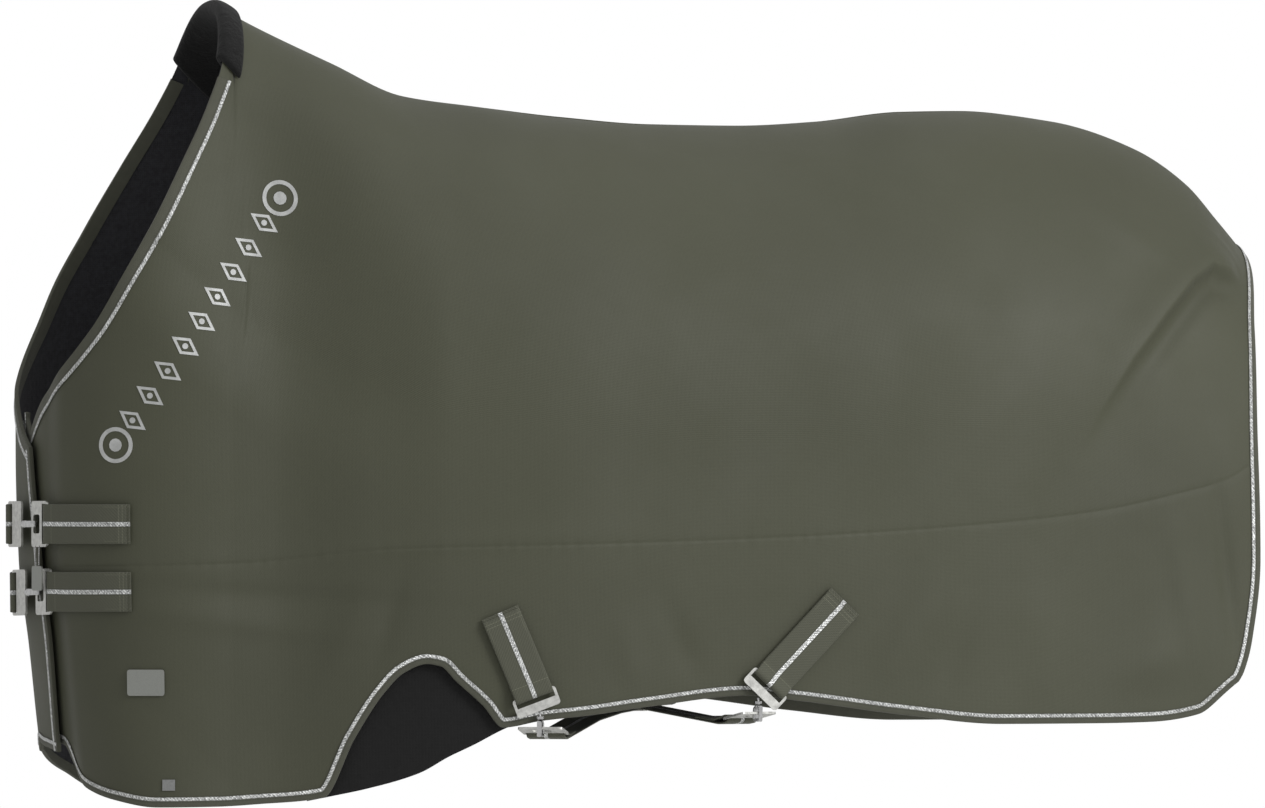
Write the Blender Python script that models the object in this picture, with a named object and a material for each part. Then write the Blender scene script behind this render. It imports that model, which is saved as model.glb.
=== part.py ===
"""Turnout rug for a horse: soft shells, bindings, straps and closures around an empty horse-shaped space.

The head end is at -X, the tail at +X, the near (left) side at -Y and up is +Z, in metres.
The origin is where the horse's back carries the rug: under the lining, at the dip of the back.
Every soft layer lies on one surface. Its coordinates are q, the distance round the body from the
centre of the chest, and s, how far down the side it is: 0 at the centre of the back, 1 at full width.
"""

import math

import bmesh
import bpy
import numpy as np
from mathutils import Matrix, Vector

# Overall sizes
RUG_LENGTH = 1.588  # centre of the chest to the tail edge, along X
CREST_HEIGHT = 1.0135  # lowest hem to the crest of the neck
BARREL_WIDTH = 0.580  # across the widest part of the body
CHEST_WIDTH = 0.430
CHEST_DEPTH = 0.222  # how far the rounded chest reaches forward of the shoulder
CHEST_SQUARENESS = 2.4  # 2 is an ellipse seen from above, more is blunter
ARCH_DROP = 0.400  # from the topline down to the full width
SIDE_STEP = 0.450  # drop below the full width that one unit of s stands for
HEM_TAPER = 0.060  # share of the half width that the sides lose at the hem

# Cloth layers
SHELL = 0.0015
LINING = 0.0015
GUSSET = 0.0015
GAP = 0.0003  # between layers that touch
BINDING_WIDTH = 0.014
BINDING = 0.0009
BINDING_GAP = 0.0016
TAPE_LEAD = (False, False, False, True, False, False, True, True)  # sides of the tape's section
TAPE_ENDS = ((0, 1, 2, 7), (7, 2, 3, 6), (6, 3, 4, 5))  # corners of the section's three walls
SHORTEST_STEP = 0.004  # between two sections of a tape
EDGE_ROW = 0.050  # s of the first row of the upper panels, a little over the binding's width
EDGE_COLUMN = 0.020  # width of the first and last columns
STRAIGHT_FRONT = 0.450  # height at which the front edges' q is counted from
FLAP_TOP_FALL = 1.3  # how steeply the flap's top corner falls past the chest's centre
PAD_GAP = 0.0066
NECK_CORNER_TRIM = 1.9  # the front and neck edges meet at a sharp angle
TAIL_TOP_TRIM, TAIL_CORNER_TRIM = 0.0030, 1.35
UNDERLAP = 0.0100  # how far the near panel sinks under the overlapping flap
UNDERLAP_START, UNDERLAP_END = 0.070, 0.125  # q where that sinking is full, and where it ends
NEAR_FRONT_EDGE = -0.035  # q of the near panel's front edge, under the flap
HINGE_Q = 0.285  # q of the line that the flap folds back on
FOLD_S = 1.3  # where on that line the hinge's origin lies
HINGE_GAP = 0.0012
HINGE_PROUD = 0.0040
PAD = 0.0045  # wither pad, each leg
PAD_OUTSIDE, PAD_INSIDE = 0.020, 0.045  # how far the pad's legs reach from the neck edge
PAD_FOOT = 0.937  # height of the pad's lower ends

# Straps
WEBBING_WIDTH = 0.050
WEBBING = 0.0022
STRAP_LIFT = 0.0032  # webbing above the shell
UPPER_CHEST_STRAP, LOWER_CHEST_STRAP = 0.3556, 0.2705  # heights of their centres
CHEST_SEWN_END = 0.226  # q
CHEST_SURFACE_END = 0.138  # q where the webbing leaves the shell for its plate
# q and height of a belly tab's sewn end, of where it leaves the shell, and of its plate's closing end
FRONT_TAB = ((0.693, 0.244), (0.7275, 0.164), (0.7440, 0.1205))
REAR_TAB = ((1.139, 0.258), (1.051, 0.165), (1.0265, 0.1390))

# Metal
PLATE_LENGTH = 0.040
BELLY_PLATE_LENGTH = 0.024
PLATE_MARGIN = 0.004  # metal beside the webbing
PLATE = 0.0028
SLOT = 0.0080  # slot that the webbing passes through
END_BAR = 0.0045
CATCH_BAR = 0.0050  # bar that a hook catches
CATCH_WINDOW = 0.0165
HOOK_WIDTH, HOOK = 0.0080, 0.0036
HOOK_TIP_GAP = 0.0045  # between the bar and the hook's tip, room to swing free
HOOK_CLEARANCE = 0.0010
HOOK_THROAT = 0.0036  # height of the hook's inner face over the plate's under side
CATCH_REACH = 0.0034  # from that face to the middle of the catch bar
SWIVEL_RADIUS, SWIVEL_LENGTH = 0.0050, 0.0090
SWIVEL_STEM = 0.0016  # radius
SWIVEL_DROP = 0.0024  # from a belly plate's edge to its swivel
CHEST_NECK, BELLY_NECK = 0.0290, 0.0170  # from a plate's edge to the catch bar
GATE, GATE_WIDTH = 0.0010, 0.0060
LOOP = 0.0046  # radius of webbing's middle round an end bar
NEAR_PLATE_Q = (0.0625, 0.109)  # q of the near chest plates' catch bar and slot end
NEAR_PLATE_LIFT = (0.0170, 0.0104)
FLAP_PLATE_Q, FLAP_PLATE_LIFT = 0.020, 0.0190  # a point that the hook's line runs through on the flap
FLAP_BRIDGE_Q, FLAP_BRIDGE_LIFT = 0.090, 0.0050
TAB_PLATE_LIFT = 0.0080
SURCINGLE_PLATE_DIP = 0.20  # how far the caught plate drops for each step inward
HOOK_TUCK = 0.04  # how far the belly hooks lean inward for each step down
SURCINGLE_LIFT = 0.0060  # of the surcingles over the off side, clear of the hem binding
UNDER_HEM = 0.0130  # from the off hem down to the surcingle that passes under it
ADJUSTER_LENGTH, ADJUSTER = 0.026, 0.0060
STRAP_SLIDE_GAP = 0.0008

# Small pieces
BADGE = (0.048, 0.033, 0.0012)
BADGE_PLACE = (0.242, 0.156)
LABEL = (0.016, 0.014, 0.0006)
LABEL_PLACE = (0.271, 0.027)
TAG = (0.026, 0.031, 0.0020)
CHAIN = 0.0022
TAG_SPACING = 0.010
TAG_PROUD = 0.0035  # in front of the plate that it hangs from
TAG_PLACE = -0.022  # from that plate's closing end
TAG_DROP = 0.026
BADGE_LIFT = 0.0014
LABEL_LIFT = 0.0009
STRAP_STEPS = ((0.04, 0.0), (0.12, 0.25), (0.50, 1.0), (0.70, 1.0), (1.0, 0.0))  # share of run, share of rise
SURCINGLE_RISE = {"front": 0.010, "rear": 0.024}  # of the middle, over a line between its ends
ADJUSTER_SHARE = 0.45  # of the straight piece of a surcingle, where the sliding frame rests

# Side view of the rug. Along is a share of RUG_LENGTH from the chest, up is a share of CREST_HEIGHT.
TOPLINE = [
    (-0.010, 1.218), (0.074, 1.107), (0.155, 1.000), (0.176, 0.981), (0.250, 0.925), (0.308, 0.885),
    (0.374, 0.872), (0.440, 0.859), (0.514, 0.850), (0.584, 0.849), (0.650, 0.854), (0.720, 0.866),
    (0.770, 0.867), (0.844, 0.854), (0.910, 0.821), (0.951, 0.780), (0.976, 0.737), (1.000, 0.693),
]
TAIL_EDGE = [  # up, along
    (0.148, 0.959), (0.165, 0.965), (0.205, 0.972), (0.305, 0.979), (0.442, 0.978), (0.593, 0.984),
    (0.693, 1.000),
]
HALF_WIDTH = [  # along, share of the way from half the chest width to half the barrel width
    (0.139, 0.00), (0.173, 0.05), (0.248, 0.47), (0.311, 0.76), (0.437, 1.00), (0.689, 1.00),
    (0.877, 0.63), (1.000, 0.22),
]
# Edges round the body: q in metres, height as a share of CREST_HEIGHT
NECK_EDGE = [
    (0.000, 0.462), (0.057, 0.505), (0.112, 0.537), (0.172, 0.593), (0.218, 0.662), (0.250, 0.711),
    (0.300, 0.797), (0.344, 0.878), (0.366, 0.931), (0.382, 1.000),
]
SIDE_SEAM = [
    (0.000, 0.296), (0.126, 0.297), (0.363, 0.302), (0.566, 0.320), (0.822, 0.326), (1.084, 0.335),
    (1.347, 0.352), (1.483, 0.367), (1.592, 0.389), (1.654, 0.405), (1.700, 0.431),
]
HEM = [
    (0.000, 0.079), (0.052, 0.074), (0.077, 0.051), (0.125, 0.023), (0.186, 0.008), (0.253, 0.000),
    (0.339, 0.001), (0.391, 0.004), (0.473, 0.012), (0.511, 0.085), (0.548, 0.142), (0.573, 0.167),
    (0.602, 0.178), (0.620, 0.175), (0.639, 0.157), (0.675, 0.125), (0.699, 0.099), (0.746, 0.107),
    (0.810, 0.114), (0.889, 0.125), (1.013, 0.138), (1.085, 0.131), (1.216, 0.114), (1.349, 0.102),
    (1.484, 0.1025), (1.552, 0.104), (1.620, 0.114), (1.666, 0.148),
]
OFF_HEM_RISE = [  # q, metres that the off side's hem is cut higher than the near one's
    (-0.048, -0.008), (0.000, -0.006), (0.060, 0.008), (0.125, 0.042), (0.200, 0.036), (0.290, 0.010),
    (0.360, 0.000), (0.450, 0.000),
]
GUSSET_SPAN = (0.452, 0.722)  # q
GUSSET_BOTTOM = [
    (0.452, 0.006), (0.482, 0.012), (0.530, 0.022), (0.594, 0.041), (0.631, 0.061), (0.663, 0.076),
    (0.700, 0.095), (0.722, 0.104),
]
GUSSET_TOP = [(0.452, 0.055), (0.511, 0.145), (0.573, 0.215), (0.620, 0.220), (0.675, 0.170), (0.722, 0.130)]
FLAP_EDGE = [  # height in metres, q
    (0.079, -0.048), (0.150, -0.057), (0.250, -0.064), (0.330, -0.058), (0.400, -0.045), (0.470, -0.030),
]
LEAN = [(0.000, 0.045), (0.090, 0.031), (0.200, 0.018), (0.310, 0.004), (0.450, 0.000), (1.300, 0.000)]
NECK_PROFILE = [  # s, share of the half width
    (0.0, 0.0), (0.2, 0.33), (0.44, 0.57), (0.6, 0.66), (0.82, 0.80), (1.0, 0.92), (1.3, 1.0), (4.0, 1.0),
]
NECK_STARTS, NECK_FULL = 0.311, 0.154  # along: where the section turns from barrel to neck

# Lattice of the panels: columns round the body and rows down it
FRONT_COLUMNS = (0.030, 0.057, 0.085, 0.112, 0.142, 0.172, 0.200, 0.226, 0.255, 0.285, 0.315, 0.344)
BACK_COLUMNS = (
    0.430, 0.473, 0.511, 0.548, 0.573, 0.602, 0.620, 0.639, 0.675, 0.699, 0.746, 0.810, 0.889, 1.013,
    1.085, 1.216, 1.349, 1.484, 1.552, 1.620,
)
UPPER_ROWS, SKIRT_ROWS = 9, 3
ROW_CROWDING = 1.35  # above 1, the rows are closer together over the back

COLOURS = {
    "shell": ((0.080, 0.086, 0.056), 0.62, 0.0),
    "lining": ((0.012, 0.012, 0.014), 0.90, 0.0),
    "gusset": ((0.010, 0.010, 0.010), 0.75, 0.0),
    "pad": ((0.008, 0.008, 0.008), 0.95, 0.0),
    "binding": ((0.110, 0.112, 0.095), 0.70, 0.0),
    "webbing": ((0.115, 0.118, 0.098), 0.70, 0.0),
    "nickel": ((0.330, 0.330, 0.310), 0.38, 1.0),
    "chrome": ((0.600, 0.600, 0.600), 0.18, 1.0),
    "badge": ((0.200, 0.205, 0.180), 0.42, 1.0),
    "label": ((0.130, 0.135, 0.115), 0.80, 0.0),
}
NEAR, OFF = -1, 1  # the horse's left and right side
UPRIGHT = Vector((0, 0, 1))


def flowing(points):
    """A smooth function through the points that doesn't overshoot between them."""
    x, y = np.array(points, float).T
    step = np.diff(x)
    slope = np.diff(y) / step
    tangent = np.concatenate([slope[:1], np.zeros(len(x) - 2), slope[-1:]])
    for i in range(1, len(x) - 1):
        if slope[i - 1] * slope[i] > 0:
            before, after = 2 * step[i] + step[i - 1], step[i] + 2 * step[i - 1]
            tangent[i] = (before + after) / (before / slope[i - 1] + after / slope[i])

    def value(at):
        i = int(np.clip(np.searchsorted(x, at) - 1, 0, len(x) - 2))
        if at <= x[0] or at >= x[-1]:
            end = 0 if at <= x[0] else -1
            return float(y[end] + tangent[end] * (at - x[end]))
        t = (at - x[i]) / step[i]
        bend = t * t * (3 - 2 * t)
        pull = t * (1 - t)
        return float(
            y[i] * (1 - bend) + y[i + 1] * bend
            + step[i] * pull * ((1 - t) * tangent[i] - t * tangent[i + 1])
        )

    return value


def ease(t):
    t = min(max(t, 0.0), 1.0)
    return t * t * (3 - 2 * t)


def mix(a, b, t):
    return a + (b - a) * t


FRONT_X = -RUG_LENGTH / 2
SHOULDER_X = FRONT_X + CHEST_DEPTH
topline = flowing([(FRONT_X + a * RUG_LENGTH, u * CREST_HEIGHT) for a, u in TOPLINE])
tail_x = flowing([(u * CREST_HEIGHT, FRONT_X + a * RUG_LENGTH) for u, a in TAIL_EDGE])
half_width = flowing(
    [(FRONT_X + a * RUG_LENGTH, mix(CHEST_WIDTH, BARREL_WIDTH, share) / 2) for a, share in HALF_WIDTH]
)
neck_profile = flowing(NECK_PROFILE)
lean = flowing(LEAN)
flap_edge = flowing(FLAP_EDGE)
STACK = SHELL + GAP + LINING
ORIGIN_HEIGHT = topline(0.0) - STACK


def plan_outline():
    """The widest outline seen from above, as q, x and y from the chest's centre to past the tail."""
    angle = np.linspace(0, math.pi / 2, 500)
    power = 2 / CHEST_SQUARENESS
    nose_x = SHOULDER_X - CHEST_DEPTH * np.cos(angle) ** power
    nose_y = CHEST_WIDTH / 2 * np.sin(angle) ** power
    side_x = np.linspace(SHOULDER_X, -FRONT_X * 1.05, 900)[1:]
    side_y = [half_width(x) for x in side_x]
    x = np.concatenate([nose_x, side_x])
    y = np.concatenate([nose_y, side_y])
    q = np.concatenate([[0], np.cumsum(np.hypot(np.diff(x), np.diff(y)))])
    return q, x, y


PLAN_Q, PLAN_X, PLAN_Y = plan_outline()
# The edges are drawn for the standard plan, so their q stretches with the outline's real length.
Q_SCALE = float(np.interp(-FRONT_X, PLAN_X, PLAN_Q)) / 1.7345


def around(points):
    """An edge's height above the lowest hem, as a function of q."""
    return flowing([(q * Q_SCALE, up * CREST_HEIGHT) for q, up in points])


neck_edge = around(NECK_EDGE)
side_seam = around(SIDE_SEAM)
hem = around(HEM)
off_hem_rise = flowing([(q * Q_SCALE, rise) for q, rise in OFF_HEM_RISE])
gusset_bottom = around(GUSSET_BOTTOM)
gusset_top = around(GUSSET_TOP)
CREST_Q = NECK_EDGE[-1][0] * Q_SCALE


def plan(q):
    half = float(np.interp(abs(q), PLAN_Q, PLAN_Y))
    return float(np.interp(abs(q), PLAN_Q, PLAN_X)), math.copysign(half, q)


def q_at(x):
    return float(np.interp(x, PLAN_X, PLAN_Q))


def drop(s):
    """Depth below the topline."""
    s = abs(s)
    if s >= 1:
        return ARCH_DROP + (s - 1) * SIDE_STEP
    return ARCH_DROP * (1 - math.cos(s * math.pi / 2) ** (1 / 1.1))


def s_at(q, height):
    """How far down the side the surface at q reaches this height."""
    down = topline(plan(q)[0]) - height
    if down >= ARCH_DROP:
        return 1 + (down - ARCH_DROP) / SIDE_STEP
    return math.acos(max(0.0, 1 - max(0.0, down) / ARCH_DROP) ** 1.1) / (math.pi / 2)


def sinking(q, side):
    """How far the near panel lies inward, under the flap."""
    if side == OFF:
        return 0.0
    return UNDERLAP * (1 - ease((q - UNDERLAP_START) / (UNDERLAP_END - UNDERLAP_START)))


def bare_point(q, s, side):
    x, half = plan(q)
    down = drop(s)
    height = topline(x) - down
    barrel = math.sin(min(abs(s), 1) * math.pi / 2)
    along = (x - FRONT_X) / RUG_LENGTH
    neckness = ease((NECK_STARTS - along) / (NECK_STARTS - NECK_FULL))
    width = mix(barrel, min(neck_profile(abs(s)), 1.0), neckness)
    taper = 1 - HEM_TAPER * min(max((down - ARCH_DROP) / 0.6, 0.0), 1.0) ** 2
    nose = min(max((SHOULDER_X - x) / CHEST_DEPTH, 0.0), 1.0)
    y = half * width * taper * math.copysign(1, s) + GAP / 2
    return Vector((x + lean(height) * nose * nose, side * y, height - ORIGIN_HEIGHT))


def slopes(q, s, side, step=0.004):
    along = bare_point(q + step, s, side) - bare_point(q - step, s, side)
    down = bare_point(q, s + step, side) - bare_point(q, s - step, side)
    return along / (2 * step), down / (2 * step)


def outward(q, s, side):
    along, down = slopes(q, s, side)
    return (along.cross(down) * side).normalized()


def at(q, s, side, lift=0.0):
    """Point of the rug's surface, lifted outwards."""
    return bare_point(q, s, side) + outward(q, s, side) * (lift - sinking(q, side))


def at_height(q, height, side, lift=0.0):
    return at(q, s_at(q, height), side, lift)


# ---- solids ---------------------------------------------------------------------------------------


def material(name):
    colour, roughness, metallic = COLOURS[name]
    made = bpy.data.materials.new(name)
    made.use_nodes = True
    shader = made.node_tree.nodes["Principled BSDF"]
    shader.inputs["Base Color"].default_value = (*colour, 1.0)
    shader.inputs["Roughness"].default_value = roughness
    shader.inputs["Metallic"].default_value = metallic
    return made


def place(name, shape, finish, frame=None, parent=None, smooth=False):
    """Makes an object of a bmesh. A frame places it, and a parent empty turns it with its joint."""
    mesh = bpy.data.meshes.new(name)
    shape.to_mesh(mesh)
    shape.free()
    made = bpy.data.objects.new(name, mesh)
    bpy.context.scene.collection.objects.link(made)
    mesh.materials.append(finish)
    if frame is not None:
        made.matrix_world = frame
    if parent is not None:
        made.parent = parent
        made.matrix_parent_inverse = parent.matrix_world.inverted()
    if smooth:
        mesh.shade_smooth()
        mesh.set_sharp_from_angle(angle=math.radians(40))
    return made


def pivot(name, location):
    """An empty on a joint's axis."""
    made = bpy.data.objects.new(name, None)
    bpy.context.scene.collection.objects.link(made)
    made.location = location
    bpy.context.view_layer.update()
    return made


def face_out(shape):
    """Turns every face outwards."""
    bmesh.ops.recalc_face_normals(shape, faces=shape.faces)
    if shape.calc_volume(signed=True) < 0:
        bmesh.ops.reverse_faces(shape, faces=shape.faces[:])


def sheet(name, rows, side, outer, inner, finish, parent=None):
    """Closed cloth between two lifts of the surface, over a lattice[column][row] of (q, s)."""
    columns, steps = len(rows) - 1, len(rows[0]) - 1
    shape = bmesh.new()
    bmesh.ops.create_grid(shape, x_segments=columns, y_segments=steps, size=0.5)
    under = bmesh.ops.extrude_face_region(shape, geom=shape.faces[:])
    for vertex in under["geom"]:
        if isinstance(vertex, bmesh.types.BMVert):
            vertex.co.z = -1
    for vertex in shape.verts:
        q, s = rows[round((vertex.co.x + 0.5) * columns)][round((vertex.co.y + 0.5) * steps)]
        vertex.co = at(q, s, side, inner if vertex.co.z < -0.5 else outer)
    face_out(shape)
    return place(name, shape, finish, parent=parent)


def loft(rings, ends=(), lead=()):
    """Closed skin over rings of equally many points. Where lead is given, its truth for each side of a
    ring says which way that side's faces are halved, so that two close walls stay parallel. Where ends
    is given, it holds the corners of each face that closes an end."""
    shape = bmesh.new()
    loops = [[shape.verts.new(point) for point in ring] for ring in rings]
    count = len(rings[0])
    for one, two in zip(loops, loops[1:]):
        for i in range(count):
            j = (i + 1) % count
            if not lead:
                shape.faces.new((one[i], one[j], two[j], two[i]))
            elif lead[i]:
                shape.faces.new((one[i], one[j], two[j]))
                shape.faces.new((one[i], two[j], two[i]))
            else:
                shape.faces.new((one[i], one[j], two[i]))
                shape.faces.new((one[j], two[j], two[i]))
    for loop in (loops[0], loops[-1]):
        for corners in ends or [range(count)]:
            shape.faces.new([loop[corner] for corner in corners])
    bmesh.ops.triangulate(shape, faces=[face for face in shape.faces if len(face.verts) > 4])
    face_out(shape)
    return shape


def edge_ring(edge, inner, run, side):
    """U-shaped section of tape round a cloth edge at (q, s). Inner is the next lattice point in from it."""
    out = outward(*edge, side)
    base = at(*edge, side)
    away = base - at(*inner, side)
    away = (away - out * away.dot(out)).normalized()
    reach = BINDING_WIDTH / max(away.cross(run.normalized()).length, 0.5)
    high, low = BINDING_GAP, -STACK - BINDING_GAP
    rim = -BINDING_GAP - BINDING
    corners = [
        (reach, high), (reach, high + BINDING), (rim, high + BINDING), (rim, low - BINDING),
        (reach, low - BINDING), (reach, low), (-BINDING_GAP, low), (-BINDING_GAP, high),
    ]
    return [base - away * inwards + out * height for inwards, height in corners]


def shortened(path, inner, trim, side):
    """Two lattice lines without a first stretch of this length."""
    path, inner = list(path), list(inner)
    while trim > 0:
        step = (at(*path[1], side) - at(*path[0], side)).length
        share = trim / step
        if step - trim > SHORTEST_STEP:
            path[0] = tuple(mix(a, b, share) for a, b in zip(path[0], path[1]))
            inner[0] = tuple(mix(a, b, share) for a, b in zip(inner[0], inner[1]))
            break
        path, inner, trim = path[1:], inner[1:], trim - step
    return path, inner


def edge_binding(name, path, inner, side, finish, parent=None, trims=(0, 0)):
    """Tape folded over a cloth edge. Path and inner are lattice lines, and trims shorten the two ends."""
    path, inner = shortened(path, inner, trims[0], side)
    path, inner = shortened(path[::-1], inner[::-1], trims[1], side)
    path, inner = path[::-1], inner[::-1]
    points = [at(q, s, side) for q, s in path]
    runs = [points[min(i + 1, len(path) - 1)] - points[max(i - 1, 0)] for i in range(len(path))]
    rings = [edge_ring(edge, beside, run, side) for edge, beside, run in zip(path, inner, runs)]
    return place(name, loft(rings, TAPE_ENDS, TAPE_LEAD), finish, parent=parent)


def ribbon(name, line, finish, parent=None):
    """Webbing along a line of (point, direction across it)."""
    rings = []
    for i, (point, across) in enumerate(line):
        run = (line[min(i + 1, len(line) - 1)][0] - line[max(i - 1, 0)][0]).normalized()
        across = (across - run * across.dot(run)).normalized()
        out = across.cross(run) * WEBBING / 2
        half = across * WEBBING_WIDTH / 2
        rings.append([point + half + out, point - half + out, point - half - out, point + half - out])
    return place(name, loft(rings), finish, parent=parent)


def frame_at(origin, along, face):
    """Frame with +X along, +Z out of the face and +Y across."""
    along = along.normalized()
    across = face.cross(along).normalized()
    out = along.cross(across)
    made = Matrix((along, across, out)).transposed().to_4x4()
    made.translation = origin
    return made


def block(low, high, bevel=0.0, segments=1):
    """Box between two corners with its upright edges rounded."""
    low, high = Vector(low), Vector(high)
    shape = bmesh.new()
    bmesh.ops.create_cube(shape, size=1.0)
    for vertex in shape.verts:
        vertex.co = [mix(a, b, c + 0.5) for a, b, c in zip(low, high, vertex.co)]
    if bevel:
        upright = [e for e in shape.edges if abs(e.verts[0].co.z - e.verts[1].co.z) > (high.z - low.z) / 2]
        bmesh.ops.bevel(
            shape, geom=upright, offset=bevel, segments=segments, profile=0.5, affect="EDGES", material=-1
        )
    return shape


def cut(target, shape, frame, parent=None):
    """Cuts a shape out of a piece with a Boolean that stays on it."""
    cutter = place(target.name + "_cutter", shape, target.data.materials[0], frame, parent)
    cutter.hide_render = True
    cutter.display_type = "WIRE"
    modifier = target.modifiers.new("cut", "BOOLEAN")
    modifier.object = cutter
    return cutter


def plate(name, frame, finish, parent=None, catch=False, length=PLATE_LENGTH):
    """Flat plate for webbing. Its slot end is at -X and its closing end at the frame's origin."""
    half = WEBBING_WIDTH / 2 + PLATE_MARGIN
    made = place(name, block((-length, -half, 0), (0, half, PLATE), 0.004, 3), finish, frame, parent)
    low, high = -length + END_BAR, -length + END_BAR + SLOT
    slot_half = WEBBING_WIDTH / 2 + 0.0005
    cut(made, block((low, -slot_half, -1), (high, slot_half, 1)), frame, parent)
    if catch:
        window = (-CATCH_BAR - CATCH_WINDOW, -CATCH_BAR)
        cut(made, block((window[0], -0.012, -1), (window[1], 0.012, 1), 0.003, 2), frame, parent)
    return made


def bar(points, width, thickness, corner=0.0007):
    """Bar along points in a plane of constant Y, with chamfered edges."""
    rings = []
    for i, (x, z) in enumerate(points):
        before, after = Vector(points[max(i - 1, 0)]), Vector(points[min(i + 1, len(points) - 1)])
        run = (after - before).normalized()
        out = Vector((-run.y, run.x))
        half, reach = thickness / 2, width / 2
        section = [
            (reach - corner, half), (reach, half - corner), (reach, corner - half), (reach - corner, -half),
            (corner - reach, -half), (-reach, corner - half), (-reach, half - corner), (corner - reach, half),
        ]
        rings.append([Vector((x + out.x * b, a, z + out.y * b)) for a, b in section])
    return loft(rings)


def hook(name, frame, neck, finish, parent=None):
    """Hook that runs from the swivel at the frame's origin over a catch bar and turns down behind it."""
    top = HOOK_THROAT + HOOK / 2
    tip = neck + CATCH_BAR + HOOK_TIP_GAP + HOOK / 2
    radius = 0.0028
    start = SWIVEL_LENGTH + GAP * 2
    points = [(start, PLATE / 2), (start + 0.0015, PLATE / 2 + 0.0004), (start + 0.0042, top - 0.0003)]
    points.append((start + 0.0060, top))
    for step in range(5):
        turn = step / 4 * math.pi / 2
        points.append((tip - radius + radius * math.sin(turn), top - radius + radius * math.cos(turn)))
    points.append((tip, -PLATE * 0.3))
    return place(name, bar(points, HOOK_WIDTH, HOOK), finish, frame, parent)


def gate(name, frame, neck, finish, parent=None):
    """Spring leaf that shuts the hook's mouth. It turns about its end beside the swivel."""
    length = neck + CATCH_BAR + HOOK_TIP_GAP + HOOK - SWIVEL_LENGTH - 0.001
    low = HOOK_THROAT - CATCH_REACH - CATCH_BAR / 2 - HOOK_CLEARANCE - GATE
    shape = block((0, -GATE_WIDTH / 2, -GATE / 2), (length, GATE_WIDTH / 2, GATE / 2), 0.002, 2)
    root = frame @ Vector((SWIVEL_LENGTH + 0.001, 0, low + GATE / 2))
    turned = frame.copy()
    turned.translation = root
    return place(name, shape, finish, turned, parent)


def swivel(name, frame, finish, parent=None):
    """Round swivel between a plate's closing edge and its hook."""
    shape = bmesh.new()
    turn = Matrix.Rotation(math.pi / 2, 4, "Y")
    lift = Matrix.Translation((0, 0, PLATE / 2))
    thick, length = SWIVEL_RADIUS, SWIVEL_LENGTH
    profile = ((GAP, SWIVEL_STEM), (length * 0.35, SWIVEL_STEM), (length * 0.5, thick))
    for slide, radius in profile + ((length - 0.0015, thick), (length, thick / 2)):
        ring = lift @ Matrix.Translation((slide, 0, 0)) @ turn
        bmesh.ops.create_circle(shape, segments=12, radius=radius, matrix=ring)
    bmesh.ops.bridge_loops(shape, edges=shape.edges[:])
    bmesh.ops.holes_fill(shape, edges=shape.edges[:], sides=12)
    face_out(shape)
    return place(name, shape, finish, frame, parent, smooth=True)


def catch_frame(hook_frame, neck, away):
    """Frame of the plate whose catch bar sits in a hook. Away is the way that its webbing leaves."""
    across = hook_frame.to_3x3() @ Vector((0, 1, 0))
    along = -(away - across * away.dot(across)).normalized()
    made = Matrix((along, -across, along.cross(-across))).transposed().to_4x4()
    centre = hook_frame @ Vector((neck + CATCH_BAR / 2, 0, HOOK_THROAT - CATCH_REACH))
    made.translation = centre - made.to_3x3() @ Vector((-CATCH_BAR / 2, 0, PLATE / 2))
    return made


def loop_line(frame, length=PLATE_LENGTH, turns=6):
    """Webbing's line round a plate's end bar, from its under side through the slot to its outer side."""
    across = frame.to_3x3() @ Vector((0, 1, 0))
    line = []
    for step in range(turns + 1):
        angle = mix(-math.pi / 2, math.pi / 2, step / turns)
        x = END_BAR / 2 - length + LOOP * math.cos(angle)
        spot = Vector((x, 0, PLATE / 2 + LOOP * math.sin(angle)))
        line.append((frame @ spot, across))
    return line


def surface_line(side, start, end, lift, steps):
    """Points and across directions of a strap that lies on the surface between two (q, height)."""
    shares = [i / steps for i in range(steps + 1)]
    spots = [(mix(start[0], end[0], t) * Q_SCALE, mix(start[1], end[1], t)) for t in shares]
    points = [at_height(q, height, side, lift) for q, height in spots]
    line = []
    for i, (q, height) in enumerate(spots):
        run = points[min(i + 1, steps)] - points[max(i - 1, 0)]
        line.append((points[i], run.cross(outward(q, s_at(q, height), side)).normalized()))
    return line


def matched(line):
    """The same line with its across directions all on one side."""
    made = [line[0]]
    for point, across in line[1:]:
        made.append((point, across if across.dot(made[-1][1]) > 0 else -across))
    return made


def sewn_strap(name, side, sewn, landing, frame, finish, parent=None, bridge=(), length=PLATE_LENGTH):
    """Strap sewn to the shell, folded round a plate's end bar and stitched back on itself."""
    low = STRAP_LIFT + WEBBING / 2
    high = low + WEBBING + STRAP_SLIDE_GAP
    under = surface_line(side, sewn, landing, low, 4)
    short = (mix(sewn[0], landing[0], 0.12), mix(sewn[1], landing[1], 0.12))
    over = surface_line(side, landing, short, high, 4)
    across = under[-1][1]
    span = [(at_height(q * Q_SCALE, h, side, lift + low), across) for q, h, lift in bridge]
    back = [(at_height(q * Q_SCALE, h, side, lift + high), across) for q, h, lift in reversed(bridge)]
    return ribbon(name, matched(under + span + loop_line(frame, length) + back + over), finish, parent)


# ---- the cloth ------------------------------------------------------------------------------------


def tail_q(height):
    return q_at(tail_x(height))


def top_s(q, side):
    """s of the top edge of a side: the neck edge, then the centre of the back."""
    if q >= CREST_Q:
        return 0.0
    fall = FLAP_TOP_FALL * min(q, 0.0) if side == OFF else 0.0
    return s_at(q, neck_edge(abs(q)) + fall)


def hem_height(q, side):
    return hem(abs(q)) + (off_hem_rise(q) if side == OFF else 0.0)


def front_edge_q(height, side):
    return flap_edge(height) if side == OFF else NEAR_FRONT_EDGE


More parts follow.
